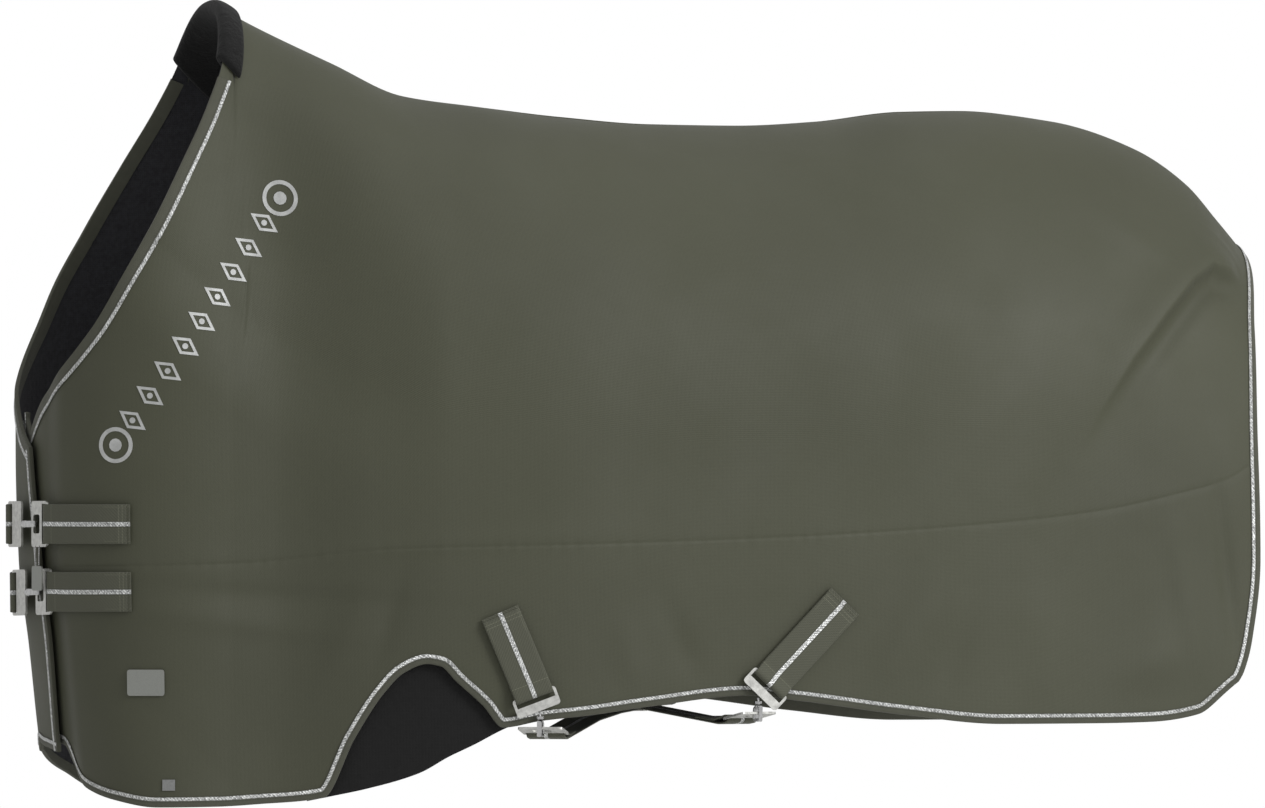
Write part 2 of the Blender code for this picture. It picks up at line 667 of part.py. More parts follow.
def neck_q_at(height):
    """q where the neck edge reaches a height."""
    low, high = 0.0, CREST_Q
    for _ in range(40):
        middle = (low + high) / 2
        low, high = (middle, high) if neck_edge(middle) < height else (low, middle)
    return low


def pad_foot_q():
    """q where the neck bindings end, just below the pad."""
    return neck_q_at(PAD_FOOT) - PAD_GAP


def column_plan(front):
    """(q, share of the front edge, share of the tail edge) of each column of a side."""
    tail = tail_q(topline(-FRONT_X))
    columns = [(front, 1.0, 0.0), (front + EDGE_COLUMN, 1.0, 0.0), (0.0, 0.0, 0.0)]
    columns += [(q * Q_SCALE, 0.0, 0.0) for q in FRONT_COLUMNS]
    columns += [(pad_foot_q(), 0.0, 0.0), (CREST_Q, 0.0, 0.0)]
    bend_from = BACK_COLUMNS[-4] * Q_SCALE
    for q in BACK_COLUMNS:
        columns.append((q * Q_SCALE, 0.0, ease((q * Q_SCALE - bend_from) / (tail - bend_from))))
    return columns + [(tail - EDGE_COLUMN, 0.0, 1.0), (tail, 0.0, 1.0)]


def lattice(side, top, bottom, rows, edge_row):
    """(q, s) between two edges in s, as lattice[column][row]. The first row's depth may be set."""
    front = front_edge_q(STRAIGHT_FRONT, side)
    tail = tail_q(topline(-FRONT_X))
    made = []
    for q_plan, front_share, tail_share in column_plan(front):
        column = []
        for row in range(rows + 1):
            q = q_plan
            for _ in range(4):
                high, low = top(q), bottom(q)
                if edge_row and row:
                    s = mix(high + edge_row, low, ((row - 1) / (rows - 1)) ** ROW_CROWDING)
                else:
                    s = mix(high, low, row / rows)
                height = topline(plan(q)[0]) - drop(s)
                q = q_plan + tail_share * (tail_q(height) - tail)
                q += front_share * (front_edge_q(height, side) - front)
            column.append((q, s))
        made.append(column)
    return made


def split(rows, side):
    """The columns of the flap and those behind it, with a gap along the line that the flap folds on."""
    fold = next(i for i, column in enumerate(rows) if column[0][0] > HINGE_Q * Q_SCALE - 0.001)
    edge = [[(q + shift, s) for q, s in rows[fold]] for shift in (-HINGE_GAP / 2, HINGE_GAP / 2)]
    return rows[:fold] + [edge[0]], [edge[1]] + rows[fold + 1:]


def side_lattices(side):
    seam = lambda q: s_at(q, side_seam(abs(q)))
    below_seam = lambda q: s_at(q, side_seam(abs(q)) - GAP)
    bottom = lambda q: s_at(q, hem_height(q, side))
    upper = lattice(side, lambda q: top_s(q, side), seam, UPPER_ROWS, EDGE_ROW)
    skirt = lattice(side, below_seam, bottom, SKIRT_ROWS, 0.0)
    return upper, skirt


def whole(upper, skirt):
    return [one + two[1:] for one, two in zip(upper, skirt)]


def bind_side(prefix, rows, side, finish, parent=None, front=True, tail=True):
    """Bindings along the neck, front, hem and tail edges of a lattice."""
    neck = [column[:2] for column in rows if column[0][0] < pad_foot_q() + 0.001]
    corner = BINDING_WIDTH + 3 * BINDING_GAP + BINDING
    outer, beside = zip(*neck)
    edge_binding(prefix + "_neck_binding", outer, beside, side, finish, parent)
    hem_line = [column[-1] for column in rows]
    above = [column[-2] for column in rows]
    edge_binding(prefix + "_hem_binding", hem_line, above, side, finish, parent)
    if front:
        trims = (corner * NECK_CORNER_TRIM, corner)
        edge_binding(prefix + "_front_binding", rows[0], rows[1], side, finish, parent, trims)
    if tail:
        trims = (TAIL_TOP_TRIM, corner * TAIL_CORNER_TRIM)
        edge_binding(prefix + "_tail_binding", rows[-1], rows[-2], side, finish, parent, trims)


def wither_pad(finish):
    """Thick pad that wraps the neck edge over the crest, from the near side to the off side."""
    foot = neck_q_at(PAD_FOOT)
    climb = [mix(foot, CREST_Q, t) for t in (0.0, 0.3, 0.6, 0.8, 0.93)]
    path = [(q, top_s(q, NEAR), NEAR) for q in climb] + [(CREST_Q, 0.0, NEAR)]
    path += [(q, top_s(q, NEAR), OFF) for q in reversed(climb)]
    points = [at(*spot) for spot in path]
    high, low = PAD_GAP, -STACK - PAD_GAP
    rim = -PAD_GAP - PAD
    corners = [(PAD_OUTSIDE, high), (PAD_OUTSIDE, high + PAD), (PAD_OUTSIDE / 2, high + PAD)]
    corners += [(rim, high + PAD), (rim, low - PAD)]
    corners += [(PAD_INSIDE * share, low - PAD) for share in (1 / 3, 2 / 3, 1)]
    corners += [(PAD_INSIDE * share, low) for share in (1, 2 / 3, 1 / 3)]
    corners += [(-PAD_GAP, low), (-PAD_GAP, high), (PAD_OUTSIDE / 2, high)]
    rings = []
    for i, (q, s, side) in enumerate(path):
        run = points[min(i + 1, len(path) - 1)] - points[max(i - 1, 0)]
        inwards = run.cross(outward(q, s, side)).normalized()
        along, down = slopes(q, s, side)
        turn = np.linalg.lstsq(np.array([along, down]).T, np.array(inwards), rcond=None)[0]
        if i > len(climb) or side == NEAR:
            turn = abs(turn)
        rings.append([at(q + turn[0] * reach, s + turn[1] * reach, side, lift) for reach, lift in corners])
    return place("wither_pad", loft(rings), finish)


def gussets(finish):
    depth = -STACK - BINDING - 3 * BINDING_GAP
    steps = 9
    for prefix, side in (("left", NEAR), ("right", OFF)):
        rows = []
        for i in range(steps + 1):
            q = mix(GUSSET_SPAN[0], GUSSET_SPAN[1], i / steps) * Q_SCALE
            top, bottom = s_at(q, gusset_top(q)), s_at(q, gusset_bottom(q))
            rows.append([(q, mix(top, bottom, t / 2)) for t in range(3)])
        sheet(prefix + "_shoulder_gusset", rows, side, depth, depth - GUSSET, finish)


def cloth(finishes, flap):
    lining_top = -SHELL - GAP
    for prefix, side in (("left", NEAR), ("right", OFF)):
        upper, skirt = side_lattices(side)
        parts = [(prefix, upper, skirt, None, True, True)]
        if side == OFF:
            flap_upper, rear_upper = split(upper, side)
            flap_skirt, rear_skirt = split(skirt, side)
            parts = [
                ("right_flap", flap_upper, flap_skirt, flap, True, False),
                ("right", rear_upper, rear_skirt, None, False, True),
            ]
        for name, high, low, parent, front, tail in parts:
            both = whole(high, low)
            sheet(name + "_upper_shell", high, side, 0.0, -SHELL, finishes["shell"], parent)
            sheet(name + "_skirt_shell", low, side, 0.0, -SHELL, finishes["shell"], parent)
            sheet(name + "_lining", both, side, lining_top, -STACK, finishes["lining"], parent)
            bind_side(name, both, side, finishes["binding"], parent, front, tail)


# ---- closures -------------------------------------------------------------------------------------


def chest_closure(level, height, finishes, flap):
    """Near plate with a catch bar, and the flap's plate, swivel and hook that reaches over it."""
    near_slot = at_height(NEAR_PLATE_Q[1] * Q_SCALE, height, NEAR, NEAR_PLATE_LIFT[1])
    catch = at_height(NEAR_PLATE_Q[0] * Q_SCALE, height, NEAR, NEAR_PLATE_LIFT[0])
    over = at_height(FLAP_PLATE_Q * Q_SCALE, height, OFF, FLAP_PLATE_LIFT)
    run = (catch - over).normalized()
    hook_frame = frame_at(catch - run * (CHEST_NECK + CATCH_BAR / 2), run, run.cross(UPRIGHT))
    near_frame = catch_frame(hook_frame, CHEST_NECK, near_slot - catch)
    flap_frame = hook_frame.copy()
    metal, bright = finishes["nickel"], finishes["chrome"]
    plate(f"left_{level}_chest_plate", near_frame, metal, catch=True)
    plate(f"right_{level}_chest_plate", flap_frame, metal, flap)
    swivel(f"{level}_chest_swivel", hook_frame, bright, flap)
    hook(f"{level}_chest_hook", hook_frame, CHEST_NECK, bright, flap)
    sewn, landing = (CHEST_SEWN_END, height), (CHEST_SURFACE_END, height)
    sewn_strap(f"left_{level}_chest_webbing", NEAR, sewn, landing, near_frame, finishes["webbing"])
    sewn_strap(
        f"right_{level}_chest_webbing", OFF, sewn, landing, flap_frame, finishes["webbing"], flap,
        [(FLAP_BRIDGE_Q, height, FLAP_BRIDGE_LIFT)],
    )
    return near_frame


def belly_closure(end, tab, far, finishes):
    """Near tab with its plate, swivel, hook and gate, and the plate that the surcingle from the far
    point ends in. Returns the frame of that plate and the gate's."""
    sewn, landing, closing = tab
    q = closing[0] * Q_SCALE
    shut = at_height(q, closing[1], NEAR, TAB_PLATE_LIFT)
    back = at_height(landing[0] * Q_SCALE, landing[1], NEAR, TAB_PLATE_LIFT)
    tab_frame = frame_at(shut, shut - back, outward(q, s_at(q, closing[1]), NEAR))
    metal, bright = finishes["nickel"], finishes["chrome"]
    plate(f"left_{end}_belly_plate", tab_frame, metal, length=BELLY_PLATE_LENGTH)
    sewn_strap(
        f"left_{end}_belly_webbing", NEAR, sewn, landing, tab_frame, finishes["webbing"],
        length=BELLY_PLATE_LENGTH,
    )
    flat = Vector((far.x - shut.x, far.y - shut.y, 0)).normalized()
    away = flat - UPRIGHT * SURCINGLE_PLATE_DIP
    down = (flat * HOOK_TUCK - UPRIGHT).normalized()
    top = tab_frame @ Vector((0, 0, PLATE)) + down * SWIVEL_DROP
    hook_frame = frame_at(top, down, flat)
    swivel(f"{end}_belly_swivel", hook_frame, bright)
    hook(f"{end}_belly_hook", hook_frame, BELLY_NECK, bright)
    gate(f"{end}_belly_gate", hook_frame, BELLY_NECK, bright)
    caught = catch_frame(hook_frame, BELLY_NECK, away)
    plate(f"{end}_surcingle_plate", caught, metal, catch=True)
    return caught


def far_hem(tab):
    """Where a surcingle passes under the off hem, on its way to a place that mirrors a near tab."""
    q = mix(tab[1][0], tab[2][0], 0.6) * Q_SCALE
    return at_height(q, hem(q) - UNDER_HEM, OFF, 0.0)


def surcingle_line(near_frame, tab, rise):
    """Line of a strap from where it is sewn on the off side, round the hem to the caught plate's slot."""
    q = mix(tab[1][0], tab[2][0], 0.6) * Q_SCALE
    spot = far_hem(tab)
    out = outward(q, s_at(q, hem(q)), OFF)
    along = out.cross(UPRIGHT).normalized()
    landing = (q / Q_SCALE, hem(q) + 0.020)
    sewn = surface_line(OFF, tab[0], landing, STRAP_LIFT + WEBBING / 2, 5)[:3]
    sewn += surface_line(OFF, tab[0], landing, SURCINGLE_LIFT, 5)[3:]
    turn = ((SURCINGLE_LIFT, 0.62), (SURCINGLE_LIFT * 0.7, 0.25), (0.0, 0.0), (-0.012, -0.05))
    bend = [(spot + out * lift + UPRIGHT * (UNDER_HEM * up), along) for lift, up in turn]
    slot = near_frame @ Vector((-PLATE_LENGTH - 0.012, 0, PLATE / 2 - LOOP * 0.8))
    across = near_frame.to_3x3() @ Vector((0, 1, 0))
    if across.dot(along) < 0:
        across = -across
    span = []
    for t, share in STRAP_STEPS:
        point = bend[-1][0].lerp(slot, t) + UPRIGHT * (rise * share)
        span.append((point, along.lerp(across, min(t / STRAP_STEPS[1][0], 1))))
    return sewn + bend + span


def surcingle(end, near_frame, tab, finishes):
    """Strap from a caught plate, under the belly, round the off hem and up to where it is sewn, and
    the frame that slides along it."""
    line = surcingle_line(near_frame, tab, SURCINGLE_RISE[end])
    fold = loop_line(near_frame)
    (last, across), before = line[-1], line[-2][0]
    run = (before - last).normalized()
    side = (fold[-1][0] - fold[0][0]).normalized() * (WEBBING + STRAP_SLIDE_GAP)
    back = [(last + run * reach + side, across) for reach in (0.012, 0.045)]
    ribbon(f"{end}_surcingle", matched(line + fold + back), finishes["webbing"])
    start, stop = line[-4][0], line[-3][0]
    frame = frame_at(start.lerp(stop, ADJUSTER_SHARE), stop - start, -UPRIGHT)
    half = WEBBING_WIDTH / 2
    size = Vector((ADJUSTER_LENGTH, 2 * half + 2 * PLATE_MARGIN, ADJUSTER)) / 2
    name = f"{end}_surcingle_adjuster"
    made = place(name, block(-size, size, 0.003, 2), finishes["nickel"], frame)
    room = Vector((1, half + STRAP_SLIDE_GAP, WEBBING / 2 + STRAP_SLIDE_GAP))
    cut(made, block(-room, room), frame)


# ---- small pieces ---------------------------------------------------------------------------------


def surface_frame(spot, lift, side=NEAR):
    """Frame on the shell at (q, height): +X rearwards, +Z outwards."""
    q, height = spot[0] * Q_SCALE, spot[1]
    face = outward(q, s_at(q, height), side)
    return frame_at(at_height(q, height, side, lift), UPRIGHT.cross(face) * -side, face)


def slab(name, spot, size, lift, finish, corner):
    """Thin plate on the near side's shell."""
    x, y, z = size
    shape = block((-x / 2, -y / 2, 0), (x / 2, y / 2, z), corner, 2)
    return place(name, shape, finish, surface_frame(spot, lift))


def ball_chain(name, length, frame, finish, parent):
    """Short chain of balls that hangs along the frame's -Y."""
    shape = bmesh.new()
    turn = Matrix.Rotation(math.pi / 2, 4, "X")
    balls = max(2, round(length / (CHAIN * 1.25)))
    steps = [(i + share) / balls for i in range(balls) for share in (0.1, 0.5)] + [(balls - 0.1) / balls]
    for step in steps:
        thick = CHAIN / 2 if abs(step * balls % 1 - 0.5) < 0.1 else CHAIN / 4
        ring = Matrix.Translation((0, -length * step, 0)) @ turn
        bmesh.ops.create_circle(shape, segments=6, radius=thick, matrix=ring)
    bmesh.ops.bridge_loops(shape, edges=shape.edges[:])
    bmesh.ops.holes_fill(shape, edges=shape.edges[:], sides=6)
    face_out(shape)
    return place(name, shape, finish, frame, parent)


def tag(plate_frame, finishes):
    """Blank tag on two chains that hang from the lower edge of the upper near chest plate."""
    edge = WEBBING_WIDTH / 2 + PLATE_MARGIN
    down_side = -1 if plate_frame.col[1].z > 0 else 1
    top = plate_frame @ Vector((TAG_PLACE, down_side * (edge - 0.002), PLATE + TAG_PROUD))
    along = UPRIGHT.cross(plate_frame.col[2].to_3d()).normalized()
    hang = pivot("hang_tag_hinge", top)
    frame = frame_at(top, along, along.cross(UPRIGHT))
    x, y, z = TAG
    for index, step in enumerate((-TAG_SPACING / 2, TAG_SPACING / 2)):
        start = frame @ Matrix.Translation((step, 0, 0))
        ball_chain(f"tag_chain_{index + 1}", TAG_DROP - GAP * 2, start, finishes["chrome"], hang)
    shape = block((-x / 2, -TAG_DROP - y, -z / 2), (x / 2, -TAG_DROP, z / 2), 0.003, 2)
    place("hang_tag", shape, finishes["badge"], frame, hang)


def main():
    for old in list(bpy.data.objects):
        bpy.data.objects.remove(old, do_unlink=True)
    finishes = {name: material(name) for name in COLOURS}
    fold = at(HINGE_Q * Q_SCALE, FOLD_S, OFF, HINGE_PROUD)
    flap = pivot("front_flap_hinge", fold)
    cloth(finishes, flap)
    gussets(finishes["gusset"])
    wither_pad(finishes["pad"])
    upper = chest_closure("upper", UPPER_CHEST_STRAP, finishes, flap)
    chest_closure("lower", LOWER_CHEST_STRAP, finishes, flap)
    tag(upper, finishes)
    for end, tab, other in (("front", FRONT_TAB, REAR_TAB), ("rear", REAR_TAB, FRONT_TAB)):
        caught = belly_closure(end, tab, far_hem(other), finishes)
        surcingle(end, caught, other, finishes)
    slab("chest_badge_plate", BADGE_PLACE, BADGE, BADGE_LIFT, finishes["badge"], 0.003)
    slab("hem_label", LABEL_PLACE, LABEL, LABEL_LIFT, finishes["label"], 0.0)


main()
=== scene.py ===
"""Turnout rug: fine cloth, tapes, straps, embroidery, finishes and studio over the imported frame.

The head end is at -X, the tail at +X, the near (left) side at -Y and up is +Z, in metres.
Every soft layer lies on one surface. Its coordinates are q, the distance round the body from the
centre of the chest, and s, how far down the side it is: 0 at the centre of the back, 1 at full width.
"""

import math

import bmesh
import bpy
import numpy as np
from bpy.props import FloatProperty, FloatVectorProperty, IntProperty, PointerProperty
from mathutils import Matrix, Vector


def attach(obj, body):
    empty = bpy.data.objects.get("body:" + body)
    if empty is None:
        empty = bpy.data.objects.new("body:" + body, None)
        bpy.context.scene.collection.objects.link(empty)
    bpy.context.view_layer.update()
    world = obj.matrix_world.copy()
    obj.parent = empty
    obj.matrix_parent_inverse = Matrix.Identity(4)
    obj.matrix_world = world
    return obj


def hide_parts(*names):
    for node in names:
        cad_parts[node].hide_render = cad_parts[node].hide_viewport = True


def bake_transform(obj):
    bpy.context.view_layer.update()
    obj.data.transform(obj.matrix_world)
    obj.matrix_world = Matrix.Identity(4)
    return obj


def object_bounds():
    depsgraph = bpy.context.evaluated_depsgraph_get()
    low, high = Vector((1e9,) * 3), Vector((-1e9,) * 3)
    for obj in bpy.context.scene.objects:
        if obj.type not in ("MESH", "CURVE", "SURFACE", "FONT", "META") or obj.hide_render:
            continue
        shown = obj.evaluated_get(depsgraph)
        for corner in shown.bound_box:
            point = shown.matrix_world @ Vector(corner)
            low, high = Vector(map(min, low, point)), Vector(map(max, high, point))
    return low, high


bl_info = {
    "name": "Turnout Rug",
    "version": (1, 0, 0),
    "blender": (4, 5, 0),
    "location": "3D View > Sidebar > Rug",
    "description": "Builds the cloth, straps and finishes of a turnout rug, and its studio",
    "category": "Object",
}

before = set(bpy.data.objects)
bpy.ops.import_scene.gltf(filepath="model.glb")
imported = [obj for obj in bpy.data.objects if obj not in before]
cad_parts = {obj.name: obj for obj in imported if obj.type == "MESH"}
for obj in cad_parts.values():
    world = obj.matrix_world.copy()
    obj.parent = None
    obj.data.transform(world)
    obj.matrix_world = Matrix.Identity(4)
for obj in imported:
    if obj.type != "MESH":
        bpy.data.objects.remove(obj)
CAD_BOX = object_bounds()

# Overall sizes
RUG_LENGTH = 1.588
CREST_HEIGHT = 1.0135
BARREL_WIDTH = 0.580
CHEST_WIDTH = 0.430
CHEST_DEPTH = 0.222
CHEST_SQUARENESS = 2.4
ARCH_DROP = 0.400
SIDE_STEP = 0.450
HEM_TAPER = 0.060

# Layers
SHELL = 0.0015
LINING = 0.0015
GUSSET = 0.0015
GAP = 0.0003
STACK = SHELL + GAP + LINING
STRAIGHT_FRONT = 0.450
FLAP_TOP_FALL = 1.3
UNDERLAP, UNDERLAP_START, UNDERLAP_END = 0.0100, 0.070, 0.125
NEAR_FRONT_EDGE = -0.035
EDGE_COLUMN = 0.020
PAD, PAD_GAP = 0.0045, 0.0066
PAD_OUTSIDE, PAD_INSIDE, PAD_FOOT = 0.020, 0.045, 0.937
TAPE = 0.0009
TAPE_GAP = 0.0004

# Straps and their metal
WEBBING_WIDTH, WEBBING = 0.050, 0.0022
STRAP_LIFT, STRAP_SLIDE_GAP = 0.0032, 0.0008
CHEST_STRAPS = {"upper": 0.3556, "lower": 0.2705}  # heights of their centres
CHEST_SEWN_END, CHEST_SURFACE_END = 0.226, 0.138
FRONT_TAB = ((0.693, 0.244), (0.7275, 0.164), (0.7440, 0.1205))
REAR_TAB = ((1.139, 0.258), (1.051, 0.165), (1.0265, 0.1390))
PLATE_LENGTH, BELLY_PLATE_LENGTH, PLATE, END_BAR = 0.040, 0.024, 0.0028, 0.0045
CATCH_BAR, HOOK_THROAT, CATCH_REACH = 0.0050, 0.0036, 0.0034
SWIVEL_DROP, CHEST_NECK, BELLY_NECK = 0.0024, 0.0290, 0.0170
LOOP = 0.0046
NEAR_PLATE_Q, NEAR_PLATE_LIFT = (0.0625, 0.109), (0.0170, 0.0104)
FLAP_PLATE_Q, FLAP_PLATE_LIFT = 0.020, 0.0190
FLAP_BRIDGE_Q, FLAP_BRIDGE_LIFT = 0.090, 0.0050
TAB_PLATE_LIFT, SURCINGLE_PLATE_DIP, HOOK_TUCK = 0.0080, 0.20, 0.04
SURCINGLE_LIFT, UNDER_HEM = 0.0060, 0.0130
STRAP_STEPS = ((0.04, 0.0), (0.12, 0.25), (0.50, 1.0), (0.70, 1.0), (1.0, 0.0))
SURCINGLE_RISE = {"front": 0.010, "rear": 0.024}

# Side view: along is a share of RUG_LENGTH from the chest, up is a share of CREST_HEIGHT
TOPLINE = [
    (-0.010, 1.218), (0.074, 1.107), (0.155, 1.000), (0.176, 0.981), (0.250, 0.925), (0.308, 0.885),
    (0.374, 0.872), (0.440, 0.859), (0.514, 0.850), (0.584, 0.849), (0.650, 0.854), (0.720, 0.866),
    (0.770, 0.867), (0.844, 0.854), (0.910, 0.821), (0.951, 0.780), (0.976, 0.737), (1.000, 0.693),
]
TAIL_EDGE = [  # up, along
    (0.148, 0.959), (0.165, 0.965), (0.205, 0.972), (0.305, 0.979), (0.442, 0.978), (0.593, 0.984),
    (0.693, 1.000),
]
HALF_WIDTH = [  # along, share of the way from half the chest width to half the barrel width
    (0.139, 0.00), (0.173, 0.05), (0.248, 0.47), (0.311, 0.76), (0.437, 1.00), (0.689, 1.00),
    (0.877, 0.63), (1.000, 0.22),
]
NECK_EDGE = [  # q in metres, height as a share of CREST_HEIGHT
    (0.000, 0.462), (0.057, 0.505), (0.112, 0.537), (0.172, 0.593), (0.218, 0.662), (0.250, 0.711),
    (0.300, 0.797), (0.344, 0.878), (0.366, 0.931), (0.382, 1.000),
]
SIDE_SEAM = [
    (0.000, 0.296), (0.126, 0.297), (0.363, 0.302), (0.566, 0.320), (0.822, 0.326), (1.084, 0.335),
    (1.347, 0.352), (1.483, 0.367), (1.592, 0.389), (1.654, 0.405), (1.700, 0.431),
]
HEM = [
    (0.000, 0.079), (0.052, 0.074), (0.077, 0.051), (0.125, 0.023), (0.186, 0.008), (0.253, 0.000),
    (0.339, 0.001), (0.391, 0.004), (0.473, 0.012), (0.511, 0.085), (0.548, 0.142), (0.573, 0.167),
    (0.602, 0.178), (0.620, 0.175), (0.639, 0.157), (0.675, 0.125), (0.699, 0.099), (0.746, 0.107),
    (0.810, 0.114), (0.889, 0.125), (1.013, 0.138), (1.085, 0.131), (1.216, 0.114), (1.349, 0.102),
    (1.484, 0.1025), (1.552, 0.104), (1.620, 0.114), (1.666, 0.148),
]
OFF_HEM_RISE = [  # q, metres that the off side's hem is cut higher than the near one's
    (-0.048, -0.008), (0.000, -0.006), (0.060, 0.008), (0.125, 0.042), (0.200, 0.036), (0.290, 0.010),
    (0.360, 0.000), (0.450, 0.000),
]
EMBROIDERY_LINE = ((0.206, 0.455), (0.428, 0.766))  # first and last motif, (q, height)
MOTIFS = 11
GUSSET_SPAN = (0.452, 0.722)
GUSSET_BOTTOM = [
    (0.452, 0.006), (0.482, 0.012), (0.530, 0.022), (0.594, 0.041), (0.631, 0.061), (0.663, 0.076),
    (0.700, 0.095), (0.722, 0.104),
]
GUSSET_TOP = [(0.452, 0.055), (0.511, 0.145), (0.573, 0.215), (0.620, 0.220), (0.675, 0.170), (0.722, 0.130)]
FLAP_EDGE = [  # height in metres, q
    (0.079, -0.048), (0.150, -0.057), (0.250, -0.064), (0.330, -0.058), (0.400, -0.045), (0.470, -0.030),
]
LEAN = [(0.000, 0.045), (0.090, 0.031), (0.200, 0.018), (0.310, 0.004), (0.450, 0.000), (1.300, 0.000)]
NECK_PROFILE = [  # s, share of the half width
    (0.0, 0.0), (0.2, 0.33), (0.44, 0.57), (0.6, 0.66), (0.82, 0.80), (1.0, 0.92), (1.3, 1.0), (4.0, 1.0),
]
NECK_STARTS, NECK_FULL = 0.311, 0.154
TAIL_BEND = 1.484  # q where the columns start to lean with the tail edge

# Folds in the shell, at (q, height)
HIND_CREASE = [
    (1.712, 0.660), (1.650, 0.684), (1.615, 0.664), (1.573, 0.622), (1.523, 0.564), (1.480, 0.503),
    (1.442, 0.436),
]
TAIL_PLEATS = (((1.712, 0.668), (1.645, 0.745)), ((1.712, 0.678), (1.685, 0.742)))
SOFT_FOLDS = [  # middle, half sizes along and down, turn in degrees, height
    ((0.40, 0.265), (0.160, 0.012), -3, -0.0030), ((0.36, 0.232), (0.150, 0.014), -6, 0.0026),
    ((0.50, 0.215), (0.020, 0.060), -24, 0.0020), ((0.555, 0.235), (0.014, 0.060), -16, -0.0018),
    ((0.86, 0.190), (0.022, 0.060), 12, 0.0018), ((0.93, 0.200), (0.018, 0.070), 24, -0.0020),
    ((1.22, 0.215), (0.022, 0.085), -28, 0.0026), ((1.29, 0.200), (0.020, 0.075), -20, -0.0024),
    ((1.40, 0.210), (0.030, 0.090), 6, 0.0018), ((1.60, 0.260), (0.018, 0.110), 12, 0.0028),
    ((1.655, 0.290), (0.012, 0.120), 8, -0.0040), ((1.56, 0.180), (0.040, 0.030), 30, 0.0040),
    ((0.60, 0.330), (0.220, 0.014), 4, 0.0016), ((1.54, 0.720), (0.060, 0.020), -38, 0.0040),
]

NEAR, OFF = -1, 1
UPRIGHT = Vector((0, 0, 1))


# ---- the surface ----------------------------------------------------------------------------------


def flowing(points):
    """A smooth function through the points that doesn't overshoot between them."""
    x, y = np.array(points, float).T
    step = np.diff(x)
    slope = np.diff(y) / step
    tangent = np.concatenate([slope[:1], np.zeros(len(x) - 2), slope[-1:]])
    for i in range(1, len(x) - 1):
        if slope[i - 1] * slope[i] > 0:
            before, after = 2 * step[i] + step[i - 1], step[i] + 2 * step[i - 1]
            tangent[i] = (before + after) / (before / slope[i - 1] + after / slope[i])

    def value(at):
        at = np.asarray(at, float)
        i = np.clip(np.searchsorted(x, at) - 1, 0, len(x) - 2)
        t = np.clip((at - x[i]) / step[i], 0, 1)
        bend, pull = t * t * (3 - 2 * t), t * (1 - t)
        inside = y[i] * (1 - bend) + y[i + 1] * bend
        inside = inside + step[i] * pull * ((1 - t) * tangent[i] - t * tangent[i + 1])
        return inside + np.minimum(at - x[0], 0) * tangent[0] + np.maximum(at - x[-1], 0) * tangent[-1]

    return value


def ease(t):
    t = np.clip(t, 0.0, 1.0)
    return t * t * (3 - 2 * t)


def mix(a, b, t):
    return a + (b - a) * t


FRONT_X = -RUG_LENGTH / 2
SHOULDER_X = FRONT_X + CHEST_DEPTH
topline = flowing([(FRONT_X + a * RUG_LENGTH, u * CREST_HEIGHT) for a, u in TOPLINE])
tail_x = flowing([(u * CREST_HEIGHT, FRONT_X + a * RUG_LENGTH) for u, a in TAIL_EDGE])
half_width = flowing(
    [(FRONT_X + a * RUG_LENGTH, mix(CHEST_WIDTH, BARREL_WIDTH, share) / 2) for a, share in HALF_WIDTH]
)
neck_profile = flowing(NECK_PROFILE)
lean = flowing(LEAN)
flap_edge = flowing(FLAP_EDGE)
ORIGIN_HEIGHT = float(topline(0.0)) - STACK


def plan_outline():
    """The widest outline seen from above, as q, x and y from the chest's centre to past the tail."""
    angle = np.linspace(0, math.pi / 2, 500)
    power = 2 / CHEST_SQUARENESS
    nose_x = SHOULDER_X - CHEST_DEPTH * np.cos(angle) ** power
    nose_y = CHEST_WIDTH / 2 * np.sin(angle) ** power
    side_x = np.linspace(SHOULDER_X, -FRONT_X * 1.05, 900)[1:]
    x = np.concatenate([nose_x, side_x])
    y = np.concatenate([nose_y, half_width(side_x)])
    q = np.concatenate([[0], np.cumsum(np.hypot(np.diff(x), np.diff(y)))])
    return q, x, y


PLAN_Q, PLAN_X, PLAN_Y = plan_outline()
Q_SCALE = float(np.interp(-FRONT_X, PLAN_X, PLAN_Q)) / 1.7345


def around(points):
    """An edge's height above the lowest hem, as a function of q."""
    return flowing([(q * Q_SCALE, up * CREST_HEIGHT) for q, up in points])


neck_edge = around(NECK_EDGE)
side_seam = around(SIDE_SEAM)
hem = around(HEM)
off_hem_rise = flowing([(q * Q_SCALE, rise) for q, rise in OFF_HEM_RISE])
gusset_bottom = around(GUSSET_BOTTOM)
gusset_top = around(GUSSET_TOP)
CREST_Q = NECK_EDGE[-1][0] * Q_SCALE


def plan_x(q):
    return np.interp(np.abs(q), PLAN_Q, PLAN_X)


def drop(s):
    """Depth below the topline."""
    s = np.abs(s)
    arch = ARCH_DROP * (1 - np.cos(np.minimum(s, 1) * math.pi / 2).clip(0) ** (1 / 1.1))
    return np.where(s >= 1, ARCH_DROP + (s - 1) * SIDE_STEP, arch)


def s_at(q, height):
    """How far down the side the surface at q reaches this height."""
    down = topline(plan_x(q)) - height
    share = (1 - np.maximum(down, 0) / ARCH_DROP).clip(0, 1)
    return np.where(
        down >= ARCH_DROP, 1 + (down - ARCH_DROP) / SIDE_STEP, np.arccos(share**1.1) / (math.pi / 2)
    )


def height_at(q, s):
    return topline(plan_x(q)) - drop(s)


def sinking(q, side):
    """How far the near panel lies inward, under the flap."""
    if side == OFF:
        return 0.0
    return UNDERLAP * (1 - ease((q - UNDERLAP_START) / (UNDERLAP_END - UNDERLAP_START)))


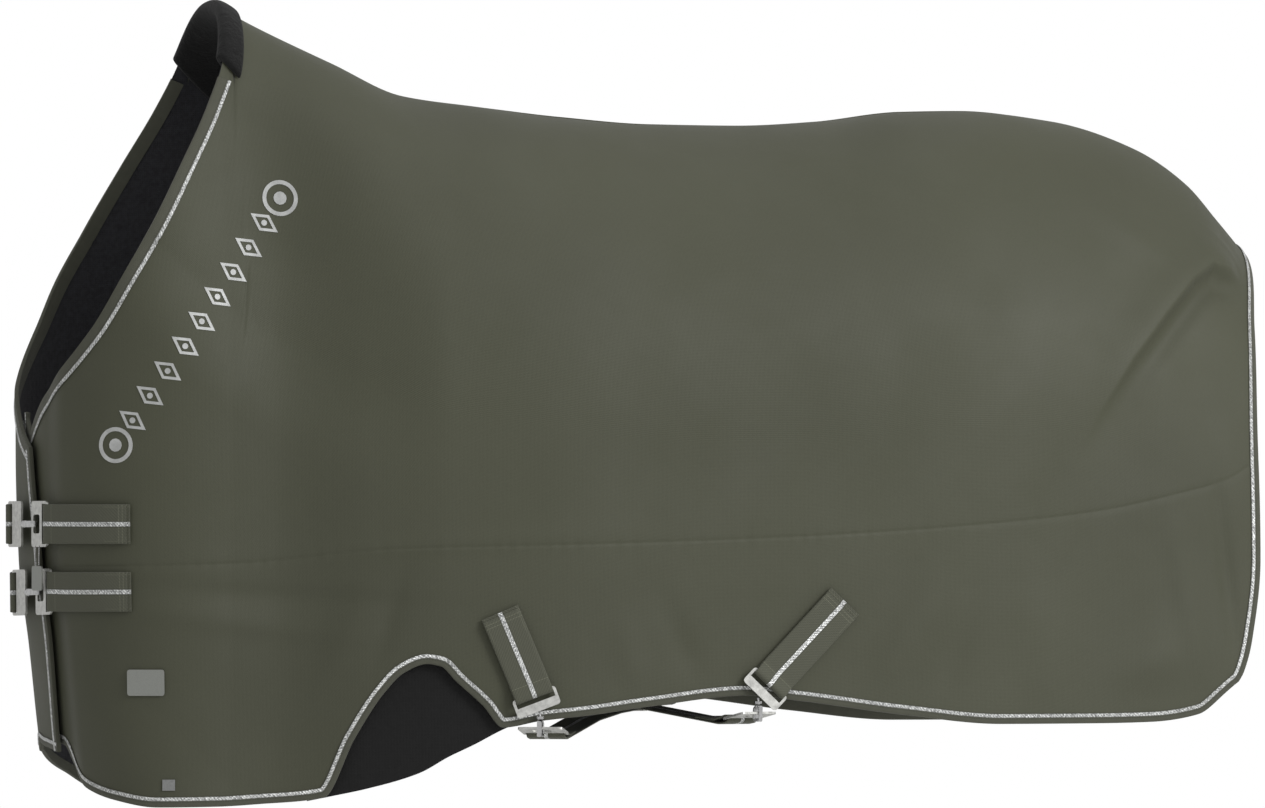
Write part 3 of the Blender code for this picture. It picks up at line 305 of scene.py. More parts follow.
def bare(q, s, side):
    """Points of the smooth surface, without folds."""
    q, s = np.broadcast_arrays(np.asarray(q, float), np.asarray(s, float))
    x, half = plan_x(q), np.copysign(np.interp(np.abs(q), PLAN_Q, PLAN_Y), q)
    down = drop(s)
    height = topline(x) - down
    barrel = np.sin(np.minimum(np.abs(s), 1) * math.pi / 2)
    neckness = ease((NECK_STARTS - (x - FRONT_X) / RUG_LENGTH) / (NECK_STARTS - NECK_FULL))
    width = mix(barrel, np.minimum(neck_profile(np.abs(s)), 1.0), neckness)
    taper = 1 - HEM_TAPER * np.clip((down - ARCH_DROP) / 0.6, 0, 1) ** 2
    nose = np.clip((SHOULDER_X - x) / CHEST_DEPTH, 0, 1)
    y = half * width * taper * np.copysign(1, s) + GAP / 2
    return np.stack([x + lean(height) * nose * nose, side * y, height - ORIGIN_HEIGHT], -1)


def unit(vectors):
    return vectors / np.linalg.norm(vectors, axis=-1, keepdims=True)


def slopes(q, s, side, step=0.004):
    along = bare(q + step, s, side) - bare(q - step, s, side)
    down = bare(q, s + step, side) - bare(q, s - step, side)
    return along / (2 * step), down / (2 * step)


def outward(q, s, side):
    along, down = slopes(q, s, side)
    return unit(np.cross(along, down) * side)


def line_distance(q, height, line):
    """Signed distance to a line of (q, height), positive above it, and how far along it that is."""
    best, sign, where = np.full(q.shape, 9.0), np.ones(q.shape), np.zeros(q.shape)
    reach = np.concatenate([[0], np.cumsum([math.dist(a, b) for a, b in zip(line, line[1:])])])
    for index, (a, b) in enumerate(zip(line, line[1:])):
        dq, dh = b[0] - a[0], b[1] - a[1]
        size = math.hypot(dq, dh)
        t = np.clip(((q - a[0]) * dq + (height - a[1]) * dh) / size**2, 0, 1)
        gap_q, gap_h = q - a[0] - t * dq, height - a[1] - t * dh
        gap = np.hypot(gap_q, gap_h)
        nearer = gap < best
        best = np.where(nearer, gap, best)
        sign = np.where(nearer, np.sign(dq * gap_h - dh * gap_q) * -1, sign)
        where = np.where(nearer, (reach[index] + t * size) / reach[-1], where)
    return best * sign, where


def folds(q, s, side):
    """How far the cloth stands in front of the smooth surface."""
    height = height_at(q, s)
    share = q / Q_SCALE
    gap, where = line_distance(share, height, HIND_CREASE)
    roll = np.where(gap > 0, np.exp(-((gap / 0.034) ** 2)), np.exp(-((gap / 0.0085) ** 2)))
    valley = np.exp(-(((gap + 0.024) / 0.014) ** 2))
    depth = ease(where / 0.10) * (1 - ease((where - 0.30) / 0.70)) ** 0.8
    raised = depth * (0.0130 * roll - 0.0065 * valley)
    for pleat in TAIL_PLEATS:
        gap, where = line_distance(share, height, list(pleat))
        raised = raised + 0.0035 * np.exp(-((gap / 0.0055) ** 2)) * ease(where / 0.15) * (1 - ease(where))
    for (mid_q, mid_h), (long, tall), turn, high in SOFT_FOLDS:
        cosine, sine = math.cos(math.radians(turn)), math.sin(math.radians(turn))
        dq, dh = share - mid_q, height - mid_h
        raised = raised + high * np.exp(
            -(((dq * cosine + dh * sine) / long) ** 2) - ((dh * cosine - dq * sine) / tall) ** 2
        )
    seam = height - side_seam(q)
    gather = np.sin(q * 290 + 3 * np.sin(q * 17)) * np.sin(q * 41 + 1)
    raised = raised + 0.00022 * gather * np.exp(-np.abs(seam) / 0.010)
    raised = raised - 0.0008 * np.exp(-((seam / 0.0020) ** 2))
    calm = ease((share - 0.20) / 0.15) * ease((height - 0.15) / 0.10)
    wave = np.sin(share * 9.0 + height * 5 + side) * np.sin(height * 11 - share * 3) * 0.0016
    edge = ease((share - 0.05) / 0.20) * (1 - ease((share - 1.66) / 0.05) * 0.75)
    rim = ease((height - hem_height(q, side)) / 0.06)
    return (raised * edge + wave * calm * edge) * rim * get_detail().fold_depth


def at(q, s, side, lift=0.0, folded=True):
    """Points of the rug's surface, lifted outwards."""
    q, s = np.broadcast_arrays(np.asarray(q, float), np.asarray(s, float))
    high = np.asarray(lift, float) - sinking(q, side)
    if folded:
        high = high + folds(q, s, side)
    return bare(q, s, side) + outward(q, s, side) * high[..., None]


def spot_at(q, height, side, lift=0.0):
    """One point of the smooth surface."""
    return Vector(at(q, s_at(q, height), side, lift, folded=False))


def facing(q, height, side):
    return Vector(outward(q, s_at(q, height), side))


# ---- the cut of the panels ------------------------------------------------------------------------


def tail_q(height):
    return np.interp(tail_x(height), PLAN_X, PLAN_Q)


TAIL_Q = float(tail_q(topline(-FRONT_X)))


def top_s(q, side):
    """s of the top edge of a side: the neck edge, then the centre of the back."""
    fall = FLAP_TOP_FALL * np.minimum(q, 0.0) if side == OFF else 0.0
    return np.where(q >= CREST_Q, 0.0, s_at(q, neck_edge(np.abs(q)) + fall))


def hem_height(q, side):
    return hem(np.abs(q)) + (off_hem_rise(q) if side == OFF else 0.0)


def front_edge_q(height, side):
    return flap_edge(height) if side == OFF else NEAR_FRONT_EDGE + 0.0 * height


def neck_q_at(height):
    """q where the neck edge reaches a height."""
    span = np.linspace(0, CREST_Q, 4000)
    return float(np.interp(height, neck_edge(span), span))


PAD_FOOT_Q = neck_q_at(PAD_FOOT) - PAD_GAP
CREST_COLUMN, SEAM_ROW = 0.24, 0.68  # shares of the columns and rows where the crest and the seam lie


def cut(u, v, side):
    """(q, s) at shares of the columns, from the front edge back, and of the rows, from the top down."""
    u, v = np.broadcast_arrays(np.asarray(u, float), np.asarray(v, float))
    front = float(front_edge_q(STRAIGHT_FRONT, side))
    plan_q = np.interp(u, [0, CREST_COLUMN, 1], [front, CREST_Q, TAIL_Q])
    front_share = np.interp(plan_q, [front, front + EDGE_COLUMN, 0.0], [1, 1, 0])
    bend = TAIL_BEND * Q_SCALE
    last = TAIL_Q - EDGE_COLUMN
    tail_share = np.where(plan_q > last, 1, ease((plan_q - bend) / (last - bend)))
    q = plan_q
    for _ in range(5):
        high, low = top_s(q, side), s_at(q, hem_height(q, side))
        middle = s_at(q, side_seam(np.abs(q)))
        upper = mix(high, middle, (v / SEAM_ROW).clip(0, 1))
        s = np.where(v <= SEAM_ROW, upper, mix(middle, low, ((v - SEAM_ROW) / (1 - SEAM_ROW)).clip(0, 1)))
        height = height_at(q, s)
        q = plan_q + tail_share * (tail_q(height) - TAIL_Q)
        q = q + front_share * (front_edge_q(height, side) - front)
    return q, s


def detailed(q, s):
    """Where the cloth has a crease or a seam."""
    height = height_at(q, s)
    gap, _ = line_distance(q / Q_SCALE, height, HIND_CREASE)
    return (np.abs(height - side_seam(q)) < 0.009) | (np.abs(gap) < 0.016)


def girth(s):
    """Roughly the length of cloth from the centre of the back down to s."""
    return np.where(s < 1, 0.58 * s, 0.58 + SIDE_STEP * (s - 1))


# ---- meshes ---------------------------------------------------------------------------------------


def face_out(shape):
    """Turns every face outwards."""
    bmesh.ops.recalc_face_normals(shape, faces=shape.faces)
    if shape.calc_volume(signed=True) < 0:
        bmesh.ops.reverse_faces(shape, faces=shape.faces[:])


def place(name, shape, finish, sharp=50.0):
    """Makes a smooth-shaded object of a bmesh."""
    face_out(shape)
    mesh = bpy.data.meshes.new(name)
    shape.to_mesh(mesh)
    shape.free()
    mesh.materials.append(finish)
    mesh.shade_smooth()
    mesh.set_sharp_from_angle(angle=math.radians(sharp))
    made = bpy.data.objects.new(name, mesh)
    bpy.context.scene.collection.objects.link(made)
    return made


def panel(name, columns, rows, side, outer, inner, finish, spots, fine=None):
    """Closed cloth between two lifts. spots gives (q, s) at shares of the columns and rows, and fine
    says which of those (q, s) need closer points."""
    shape = bmesh.new()
    bmesh.ops.create_grid(shape, x_segments=columns, y_segments=rows, size=0.5)
    for _ in range(2 if fine else 0):
        flat = np.array([vertex.co[:2] for vertex in shape.verts]) + 0.5
        close = fine(*spots(flat[:, 0], flat[:, 1]))
        shape.verts.index_update()
        edges = [e for e in shape.edges if close[e.verts[0].index] and close[e.verts[1].index]]
        bmesh.ops.subdivide_edges(shape, edges=edges, cuts=1, use_grid_fill=True)
    under = bmesh.ops.extrude_face_region(shape, geom=shape.faces[:])
    for vertex in under["geom"]:
        if isinstance(vertex, bmesh.types.BMVert):
            vertex.co.z = -1
    flat = np.array([vertex.co[:] for vertex in shape.verts])
    q, s = spots(flat[:, 0] + 0.5, flat[:, 1] + 0.5)
    points = at(q, s, side, np.where(flat[:, 2] < -0.5, inner, outer))
    across, down = q, girth(s)
    layer = shape.loops.layers.uv.new("UVMap")
    for vertex, point, a, b in zip(shape.verts, points, across, down):
        vertex.co = point
        for loop in vertex.link_loops:
            loop[layer].uv = (a, -b)
    return place(name, shape, finish)


def loft(name, rings, marks, finish, sharp=50.0, extra=None):
    """Closed skin over rings of equally many points. marks is the UV of each, with the first repeated
    last. extra is a second UV layer of the same size."""
    count, around_it = rings.shape[:2]
    shape = bmesh.new()
    bmesh.ops.create_grid(shape, x_segments=count - 1, y_segments=around_it, size=0.5)
    layer = shape.loops.layers.uv.new("UVMap")
    second = shape.loops.layers.uv.new("Ends") if extra is not None else None
    for vertex in shape.verts:
        i = round((vertex.co.x + 0.5) * (count - 1))
        j = round((vertex.co.y + 0.5) * around_it)
        for loop in vertex.link_loops:
            loop[layer].uv = marks[i, j]
            if second:
                loop[second].uv = extra[i, j]
        vertex.co = rings[i, j % around_it]
    bmesh.ops.remove_doubles(shape, verts=shape.verts[:], dist=1e-7)
    rims = [edge for edge in shape.edges if len(edge.link_faces) == 1]
    caps = bmesh.ops.holes_fill(shape, edges=rims, sides=0)["faces"]
    bmesh.ops.triangulate(shape, faces=caps)
    return place(name, shape, finish, sharp)


def inward_steps(q, s, side, beside):
    """For each point of an edge, the (q, s) step that goes one metre into the cloth, at a right angle."""
    here = bare(q, s, side)
    run = unit(np.gradient(here, axis=0))
    way = unit(np.cross(outward(q, s, side), run))
    way = way * np.sign((way * (bare(*beside, side) - here)).sum(-1, keepdims=True))
    along, down = slopes(q, s, side)
    aa, ad, dd = (along * along).sum(-1), (along * down).sum(-1), (down * down).sum(-1)
    wa, wd = (way * along).sum(-1), (way * down).sum(-1)
    determinant = aa * dd - ad * ad
    return (wa * dd - wd * ad) / determinant, (wd * aa - wa * ad) / determinant


def edge_tape(name, q, s, side, beside, width, braid, finish):
    """Tape folded over a cloth edge, with a raised braid along the inner side of its outer leg."""
    step_q, step_s = inward_steps(q, s, side, beside)
    top, low = TAPE_GAP, -STACK - TAPE_GAP
    start, stop = braid
    rise = 0.0007
    section = [  # inwards, lift
        (width, top), (width, top + TAPE), (stop, top + TAPE), (stop - 0.0004, top + TAPE + rise),
        ((start + stop) / 2, top + TAPE + rise * 1.25), (start + 0.0004, top + TAPE + rise),
        (start, top + TAPE), (start / 2, top + TAPE * 1.1), (0.0006, top + TAPE), (-0.0007, top + TAPE * 0.5),
        (-0.0013, (top + low) / 2), (-0.0007, low - TAPE * 0.5), (0.0006, low - TAPE), (width, low - TAPE),
        (width, low), (0.0, low), (-0.0004, (top + low) / 2), (0.0, top),
    ]
    if braid[0] + 0.002 > width:
        section[0:2] = [(stop, top), (stop, top + TAPE)]
    inwards = np.array([point[0] for point in section])
    lifts = np.array([point[1] for point in section])
    ring_q = q[:, None] + step_q[:, None] * inwards
    ring_s = s[:, None] + step_s[:, None] * inwards
    rings = at(ring_q, ring_s, side, lifts[None, :])
    length = np.concatenate([[0], np.cumsum(np.linalg.norm(np.diff(bare(q, s, side), axis=0), axis=1))])
    across = np.concatenate([inwards, inwards[:1]])
    across[11:] = -0.01
    marks = np.stack(np.broadcast_arrays(across[None, :], length[:, None]), -1)
    return loft(name, rings, marks, finish, 35.0)


# ---- straps ---------------------------------------------------------------------------------------


def frame_at(origin, along, face):
    """Frame with +X along, +Z out of the face and +Y across."""
    along = along.normalized()
    across = face.cross(along).normalized()
    out = along.cross(across)
    made = Matrix((along, across, out)).transposed().to_4x4()
    made.translation = origin
    return made


def catch_frame(hook_frame, neck, away):
    """Frame of the plate whose catch bar sits in a hook. Away is the way that its webbing leaves."""
    across = hook_frame.to_3x3() @ Vector((0, 1, 0))
    along = -(away - across * away.dot(across)).normalized()
    made = Matrix((along, -across, along.cross(-across))).transposed().to_4x4()
    centre = hook_frame @ Vector((neck + CATCH_BAR / 2, 0, HOOK_THROAT - CATCH_REACH))
    made.translation = centre - made.to_3x3() @ Vector((-CATCH_BAR / 2, 0, PLATE / 2))
    return made


def loop_line(plate_frame, length=PLATE_LENGTH, turns=12):
    """Webbing's line round a plate's end bar, from its under side through the slot to its outer side."""
    across = plate_frame.to_3x3() @ Vector((0, 1, 0))
    line = []
    for step in range(turns + 1):
        angle = mix(-math.pi / 2, math.pi / 2, step / turns)
        spot = Vector((END_BAR / 2 - length + LOOP * math.cos(angle), 0, PLATE / 2 + LOOP * math.sin(angle)))
        line.append((plate_frame @ spot, across))
    return line


def surface_line(side, start, end, lift, steps):
    """Points and across directions of a strap that lies on the surface between two (q, height)."""
    shares = [i / steps for i in range(steps + 1)]
    spots = [(mix(start[0], end[0], t) * Q_SCALE, mix(start[1], end[1], t)) for t in shares]
    points = [Vector(at(q, s_at(q, height), side, lift)) for q, height in spots]
    line = []
    for i, (q, height) in enumerate(spots):
        run = points[min(i + 1, steps)] - points[max(i - 1, 0)]
        line.append((points[i], run.cross(facing(q, height, side)).normalized()))
    return line


def ribbon(name, line, finish, fold_at):
    """Webbing along a line of (point, direction across it). fold_at is the place in the line where it
    turns round its plate's bar."""
    points = np.array([point[:] for point, _ in line])
    across = [line[0][1]]
    for _, way in line[1:]:
        across.append(way if way.dot(across[-1]) > 0 else -way)
    across = np.array([way[:] for way in across])
    length = np.concatenate([[0], np.cumsum(np.linalg.norm(np.diff(points, axis=0), axis=1))])
    turn = length[fold_at]
    fine = np.linspace(0, length[-1], max(24, int(length[-1] / 0.0022)))
    points = np.stack([np.interp(fine, length, points[:, k]) for k in range(3)], 1)
    across = np.stack([np.interp(fine, length, across[:, k]) for k in range(3)], 1)
    for _ in range(3):
        points[1:-1] = points[1:-1] / 2 + (points[:-2] + points[2:]) / 4
        across[1:-1] = across[1:-1] / 2 + (across[:-2] + across[2:]) / 4
    run = unit(np.gradient(points, axis=0))
    across = unit(across - run * (across * run).sum(-1, keepdims=True))
    out = np.cross(across, run)
    half, thick = WEBBING_WIDTH / 2, WEBBING / 2
    steps = np.linspace(-half + 0.0011, half - 0.0011, 13)
    edge = [(half - 0.0003, thick * 0.6), (half, 0), (half - 0.0003, -thick * 0.6)]
    far_edge = [(-across_by, lift) for across_by, lift in edge[::-1]]
    section = [(a, thick) for a in steps] + edge + [(a, -thick) for a in steps[::-1]] + far_edge
    section = np.array(section)
    rings = points[:, None] + across[:, None] * section[None, :, :1] + out[:, None] * section[None, :, 1:]
    side = np.concatenate([section[:, 0], section[:1, 0]])
    marks = np.stack(np.broadcast_arrays(side[None, :], fine[:, None]), -1)
    sewn = np.minimum(fine, length[-1] - fine)
    ends = np.stack(np.broadcast_arrays(sewn[:, None] + 0 * side[None, :], np.abs(fine - turn)[:, None]), -1)
    return loft(name, rings, marks, finish, 60.0, ends)


def sewn_strap(name, side, sewn, landing, plate_frame, finish, bridge=(), length=PLATE_LENGTH):
    """Strap sewn to the shell, folded round a plate's end bar and stitched back on itself."""
    low = STRAP_LIFT + WEBBING / 2
    high = low + WEBBING + STRAP_SLIDE_GAP
    under = surface_line(side, sewn, landing, low, 16)
    short = (mix(sewn[0], landing[0], 0.05), mix(sewn[1], landing[1], 0.05))
    over = surface_line(side, landing, short, high, 16)
    across = under[-1][1]
    span = [(spot_at(q * Q_SCALE, h, side, lift + low), across) for q, h, lift in bridge]
    back = [(spot_at(q * Q_SCALE, h, side, lift + high), across) for q, h, lift in reversed(bridge)]
    before = under + span
    return ribbon(name, before + loop_line(plate_frame, length) + back + over, finish, len(before) + 6)


def chest_frames(height):
    """Frames of the flap's plate and of the near plate that its hook catches."""
    near_slot = spot_at(NEAR_PLATE_Q[1] * Q_SCALE, height, NEAR, NEAR_PLATE_LIFT[1])
    catch = spot_at(NEAR_PLATE_Q[0] * Q_SCALE, height, NEAR, NEAR_PLATE_LIFT[0])
    over = spot_at(FLAP_PLATE_Q * Q_SCALE, height, OFF, FLAP_PLATE_LIFT)
    run = (catch - over).normalized()
    hook_frame = frame_at(catch - run * (CHEST_NECK + CATCH_BAR / 2), run, run.cross(UPRIGHT))
    return hook_frame, catch_frame(hook_frame, CHEST_NECK, near_slot - catch)


def belly_frames(tab, far):
    """Frames of a near tab's plate and of the surcingle's plate that its hook catches."""
    _, landing, closing = tab
    q = closing[0] * Q_SCALE
    shut = spot_at(q, closing[1], NEAR, TAB_PLATE_LIFT)
    back = spot_at(landing[0] * Q_SCALE, landing[1], NEAR, TAB_PLATE_LIFT)
    tab_frame = frame_at(shut, shut - back, facing(q, closing[1], NEAR))
    flat = Vector((far.x - shut.x, far.y - shut.y, 0)).normalized()
    down = (flat * HOOK_TUCK - UPRIGHT).normalized()
    top = tab_frame @ Vector((0, 0, PLATE)) + down * SWIVEL_DROP
    hook_frame = frame_at(top, down, flat)
    return tab_frame, catch_frame(hook_frame, BELLY_NECK, flat - UPRIGHT * SURCINGLE_PLATE_DIP)


def far_hem(tab):
    """Where a surcingle passes under the off hem."""
    q = mix(tab[1][0], tab[2][0], 0.6) * Q_SCALE
    return spot_at(q, float(hem(q)) - UNDER_HEM, OFF)


def surcingle_line(caught, tab, rise):
    """Line of a strap from where it is sewn on the off side, round the hem to the caught plate's slot."""
    q = mix(tab[1][0], tab[2][0], 0.6) * Q_SCALE
    spot, low = far_hem(tab), float(hem(q))
    out = facing(q, low, OFF)
    along = out.cross(UPRIGHT).normalized()
    landing = (q / Q_SCALE, low + 0.020)
    sewn = surface_line(OFF, tab[0], landing, STRAP_LIFT + WEBBING / 2, 20)[:12]
    sewn += surface_line(OFF, tab[0], landing, SURCINGLE_LIFT, 20)[12:]
    turn = ((SURCINGLE_LIFT, 0.62), (SURCINGLE_LIFT * 0.7, 0.25), (0.0, 0.0), (-0.012, -0.05))
    bend = [(spot + out * lift + UPRIGHT * (UNDER_HEM * up), along) for lift, up in turn]
    slot = caught @ Vector((-PLATE_LENGTH - 0.012, 0, PLATE / 2 - LOOP * 0.8))
    across = caught.to_3x3() @ Vector((0, 1, 0))
    if across.dot(along) < 0:
        across = -across
    span = []
    for t, share in STRAP_STEPS:
        point = bend[-1][0].lerp(slot, t) + UPRIGHT * (rise * share)
        span.append((point, along.lerp(across, min(t / STRAP_STEPS[1][0], 1))))
    return sewn + bend + span


# ---- finishes -------------------------------------------------------------------------------------


class Finish:
    """A material under construction: its Principled shader, and helpers that add nodes before it."""

    def __init__(self, name, colour, roughness, metallic=0.0, sheen=0.0):
        self.material = bpy.data.materials.new(name)
        self.material.use_nodes = True
        self.tree = self.material.node_tree
        self.shader = self.tree.nodes["Principled BSDF"]
        self.colour = colour
        self.shader.inputs["Base Color"].default_value = (*colour, 1.0)
        self.shader.inputs["Roughness"].default_value = roughness
        self.shader.inputs["Metallic"].default_value = metallic
        self.shader.inputs["Sheen Weight"].default_value = sheen

    def node(self, kind, settings=None, **inputs):
        made = self.tree.nodes.new(kind)
        for key, value in (settings or {}).items():
            setattr(made, key, value)
        for key, value in inputs.items():
            self.put(made.inputs[key.replace("_", " ")], value)
        return made

    def put(self, socket, value):
        if isinstance(value, bpy.types.NodeSocket):
            self.tree.links.new(value, socket)
        else:
            socket.default_value = value

    def math(self, operation, a, b=0.0):
        made = self.tree.nodes.new("ShaderNodeMath")
        made.operation = operation
        self.put(made.inputs[0], a)
        self.put(made.inputs[1], b)
        return made.outputs[0]

    def uv(self, layer="UVMap"):
        return self.node("ShaderNodeUVMap", {"uv_map": layer}).outputs[0]

    def place(self):
        return self.node("ShaderNodeTexCoord").outputs["Object"]

    def axes(self, vector):
        return self.node("ShaderNodeSeparateXYZ", Vector=vector).outputs

    def noise(self, vector, scale, detail=3.0, roughness=0.5):
        made = self.node("ShaderNodeTexNoise", Vector=vector, Scale=scale, Detail=detail, Roughness=roughness)
        return made.outputs[0]

    def cells(self, vector, scale):
        return self.node("ShaderNodeTexVoronoi", Vector=vector, Scale=scale).outputs

    def wave(self, vector, period, direction, distortion=0.0):
        """Bands with a period in metres."""
        settings = {"bands_direction": direction}
        made = self.node("ShaderNodeTexWave", settings, Vector=vector, Scale=math.pi / 10 / period)
        made.inputs["Distortion"].default_value = distortion
        return made.outputs["Fac"]

    def span(self, value, low, high, to_low=0.0, to_high=1.0):
        made = self.node("ShaderNodeMapRange", Value=value)
        for key, number in (("From Min", low), ("From Max", high), ("To Min", to_low), ("To Max", to_high)):
            made.inputs[key].default_value = number
        return made.outputs[0]

    def band(self, value, low, high, soft):
        """1 where value lies between low and high."""
        return self.math("MULTIPLY", self.span(value, low - soft, low), self.span(value, high + soft, high))

    def blend(self, share, a, b):
        made = self.tree.nodes.new("ShaderNodeMix")
        made.data_type = "RGBA"
        colours = [socket for socket in made.inputs if socket.type == "RGBA"]
        self.put(made.inputs[0], share)
        self.put(colours[0], a if isinstance(a, bpy.types.NodeSocket) else (*a, 1.0))
        self.put(colours[1], b if isinstance(b, bpy.types.NodeSocket) else (*b, 1.0))
        return [socket for socket in made.outputs if socket.type == "RGBA"][0]

    def tint(self, colour, share):
        """The colour times a share that may be above 1."""
        made = self.node("ShaderNodeVectorMath", {"operation": "SCALE"})
        self.put(made.inputs[0], colour if isinstance(colour, bpy.types.NodeSocket) else Vector(colour))
        self.put(made.inputs["Scale"], share)
        return made.outputs[0]

    def bump(self, height, distance, strength=1.0):
        made = self.node("ShaderNodeBump", Height=height, Distance=distance, Strength=strength)
        self.tree.links.new(made.outputs[0], self.shader.inputs["Normal"])

    def set(self, **inputs):
        for key, value in inputs.items():
            self.put(self.shader.inputs[key.replace("_", " ")], value)
        return self.material


def dark(colour, share):
    return tuple(c * share for c in colour)


def shell_finish():
    """Close plain weave with a soft sheen and faint uneven dye."""
    colours = get_finish()
    made = Finish("shell_weave", colours.shell, colours.shell_roughness, sheen=0.04)
    spot = made.uv()
    warp = made.wave(spot, 0.0017, "X", 0.4)
    weft = made.wave(spot, 0.0017, "Y", 0.4)
    weave = made.math("MAXIMUM", warp, weft)
    body = made.place()
    dye = made.noise(body, 3.0, 4.0)
    fleck = made.noise(body, 420.0, 2.0, 0.7)
    shade = made.math("ADD", made.span(dye, 0.3, 0.7, 0.93, 1.07), made.span(fleck, 0.25, 0.75, -0.05, 0.05))
    worn = made.math("MULTIPLY", shade, made.span(weave, 0.2, 1.0, 0.93, 1.03))
    crumple = made.math("MULTIPLY", made.noise(body, 22.0, 5.0), 1.2)
    made.bump(made.math("ADD", made.math("MULTIPLY", weave, 0.35), crumple), 0.0006, 0.55)
    matt = colours.shell_roughness
    rough = made.span(made.noise(body, 9.0, 3.0), 0.3, 0.7, matt - 0.05, matt + 0.05)
    return made.set(Base_Color=made.tint(colours.shell, worn), Roughness=rough)


def lining_finish(name, colour, scale):
    """Dark knitted lining with small pills."""
    made = Finish(name, colour, 0.9, sheen=0.05)
    body = made.place()
    knit = made.math("MAXIMUM", made.wave(body, scale, "X", 1.0), made.wave(body, scale, "Z", 1.0))
    fuzz = made.noise(body, 160.0, 4.0, 0.7)
    shade = made.math("MULTIPLY", made.span(fuzz, 0.3, 0.75, 0.7, 1.6), made.span(knit, 0.0, 1.0, 0.8, 1.1))
    made.bump(made.math("ADD", knit, fuzz), 0.0005, 0.5)
    return made.set(Base_Color=made.tint(colour, shade))


def fleece_finish():
    """Short black pile."""
    colour = get_finish().pad
    made = Finish("black_fleece", colour, 0.95, sheen=0.08)
    body = made.place()
    pile = made.noise(body, 330.0, 5.0, 0.75)
    tuft = made.noise(body, 75.0, 3.0, 0.6)
    shade = made.math("MULTIPLY", made.span(pile, 0.25, 0.8, 0.4, 2.2), made.span(tuft, 0.3, 0.7, 0.8, 1.3))
    made.bump(made.math("ADD", pile, made.math("MULTIPLY", tuft, 1.5)), 0.0022, 0.9)
    return made.set(Base_Color=made.tint(colour, shade))


def glitter(made, spot, colour):
    """Colour and height of a metallic thread braid in a plane of metres, with glints of the metal thread
    painted into the colour.
    """
    cells = made.cells(spot, 620.0)
    spark = made.axes(cells["Color"])[0]
    twist = made.wave(spot, 0.0021, "DIAGONAL", 0.6)
    # Random cells painted lighter and darker: painted glints. The twist bands are the braid's own pattern.
    painted_glint = made.span(spark, 0.1, 1.0, 0.55, 1.65)
    shade = made.math("MULTIPLY", painted_glint, made.span(twist, 0.1, 0.9, 0.72, 1.12))
    return made.tint(colour, shade), made.math("ADD", twist, spark)


def tape_finish(name, braid):
    """Ribbed binding tape whose metallic braid lies between two distances from the cloth's edge."""
    colours = get_finish()
    made = Finish(name, colours.tape, 0.7, sheen=0.1)
    spot = made.uv()
    across = made.axes(spot)[0]
    ribs = made.wave(spot, 0.0011, "Y", 0.2)
    ribbed = made.math("ADD", ribs, made.noise(spot, 90.0))
    base = made.tint(colours.tape, made.span(ribbed, 0.2, 1.6, 0.8, 1.15))
    seam = made.band(across, braid[0] - 0.0022, braid[0] - 0.0014, 0.0003)
    stitch = made.math("MULTIPLY", seam, made.span(made.wave(spot, 0.0032, "Y"), 0.25, 0.45))
    base = made.blend(made.math("MULTIPLY", stitch, 0.55), base, dark(colours.tape, 0.45))
    bright, height = glitter(made, spot, colours.braid)
    share = made.band(across, braid[0], braid[1], 0.0002)
    metal = made.math("MULTIPLY", share, 0.55)
    rough = made.span(share, 0, 1, 0.72, 0.36)
    made.bump(made.math("ADD", ribs, made.math("MULTIPLY", share, height)), 0.0004, 0.6)
    return made.set(Base_Color=made.blend(share, base, bright), Metallic=metal, Roughness=rough)


def webbing_finish():
    """Woven strap with a metallic stripe down its middle and thread across its sewn ends."""
    colours = get_finish()
    made = Finish("striped_webbing", colours.webbing, 0.75, sheen=0.1)
    spot = made.uv()
    across = made.math("ABSOLUTE", made.axes(spot)[0])
    twill = made.wave(spot, 0.0022, "DIAGONAL", 0.1)
    ribs = made.wave(spot, 0.0016, "Y")
    cloth = made.math("ADD", made.math("MULTIPLY", twill, 0.6), made.math("MULTIPLY", ribs, 0.6))
    base = made.tint(colours.webbing, made.span(cloth, 0.0, 1.1, 0.82, 1.12))
    # Dark lines either side of the stripe: painted shade where a groove would be, with no groove in the bump.
    painted_groove_shade = made.band(across, 0.0035, 0.0042, 0.0003)
    base = made.blend(made.math("MULTIPLY", painted_groove_shade, 0.45), base, dark(colours.webbing, 0.5))
    ends = made.axes(made.uv("Ends"))
    outer_line = made.band(ends[0], 0.0040, 0.0050, 0.0002)
    lines = made.math("ADD", outer_line, made.band(ends[0], 0.0088, 0.0098, 0.0002))
    lines = made.math("ADD", lines, made.band(ends[1], 0.0215, 0.0225, 0.0002))
    sides = made.math("MULTIPLY", made.band(across, 0.0212, 0.0220, 0.0002), made.span(ends[0], 0.030, 0.029))
    lines = made.math("MINIMUM", made.math("ADD", lines, sides), 1.0)
    dashes = made.math("MAXIMUM", made.wave(spot, 0.0036, "X"), 0.35)
    thread = made.math("MULTIPLY", lines, dashes)
    base = made.blend(made.math("MULTIPLY", thread, 0.8), base, dark(colours.webbing, 1.9))
    bright, height = glitter(made, spot, colours.braid)
    stripe = made.span(across, 0.0030, 0.0026)
    raised = made.math("ADD", made.math("MULTIPLY", stripe, height), made.math("MULTIPLY", thread, 1.2))
    made.bump(made.math("ADD", cloth, raised), 0.0005, 0.6)
    return made.set(
        Base_Color=made.blend(stripe, base, bright),
        Metallic=made.math("MULTIPLY", stripe, 0.55),
        Roughness=made.span(stripe, 0, 1, 0.75, 0.36),
    )


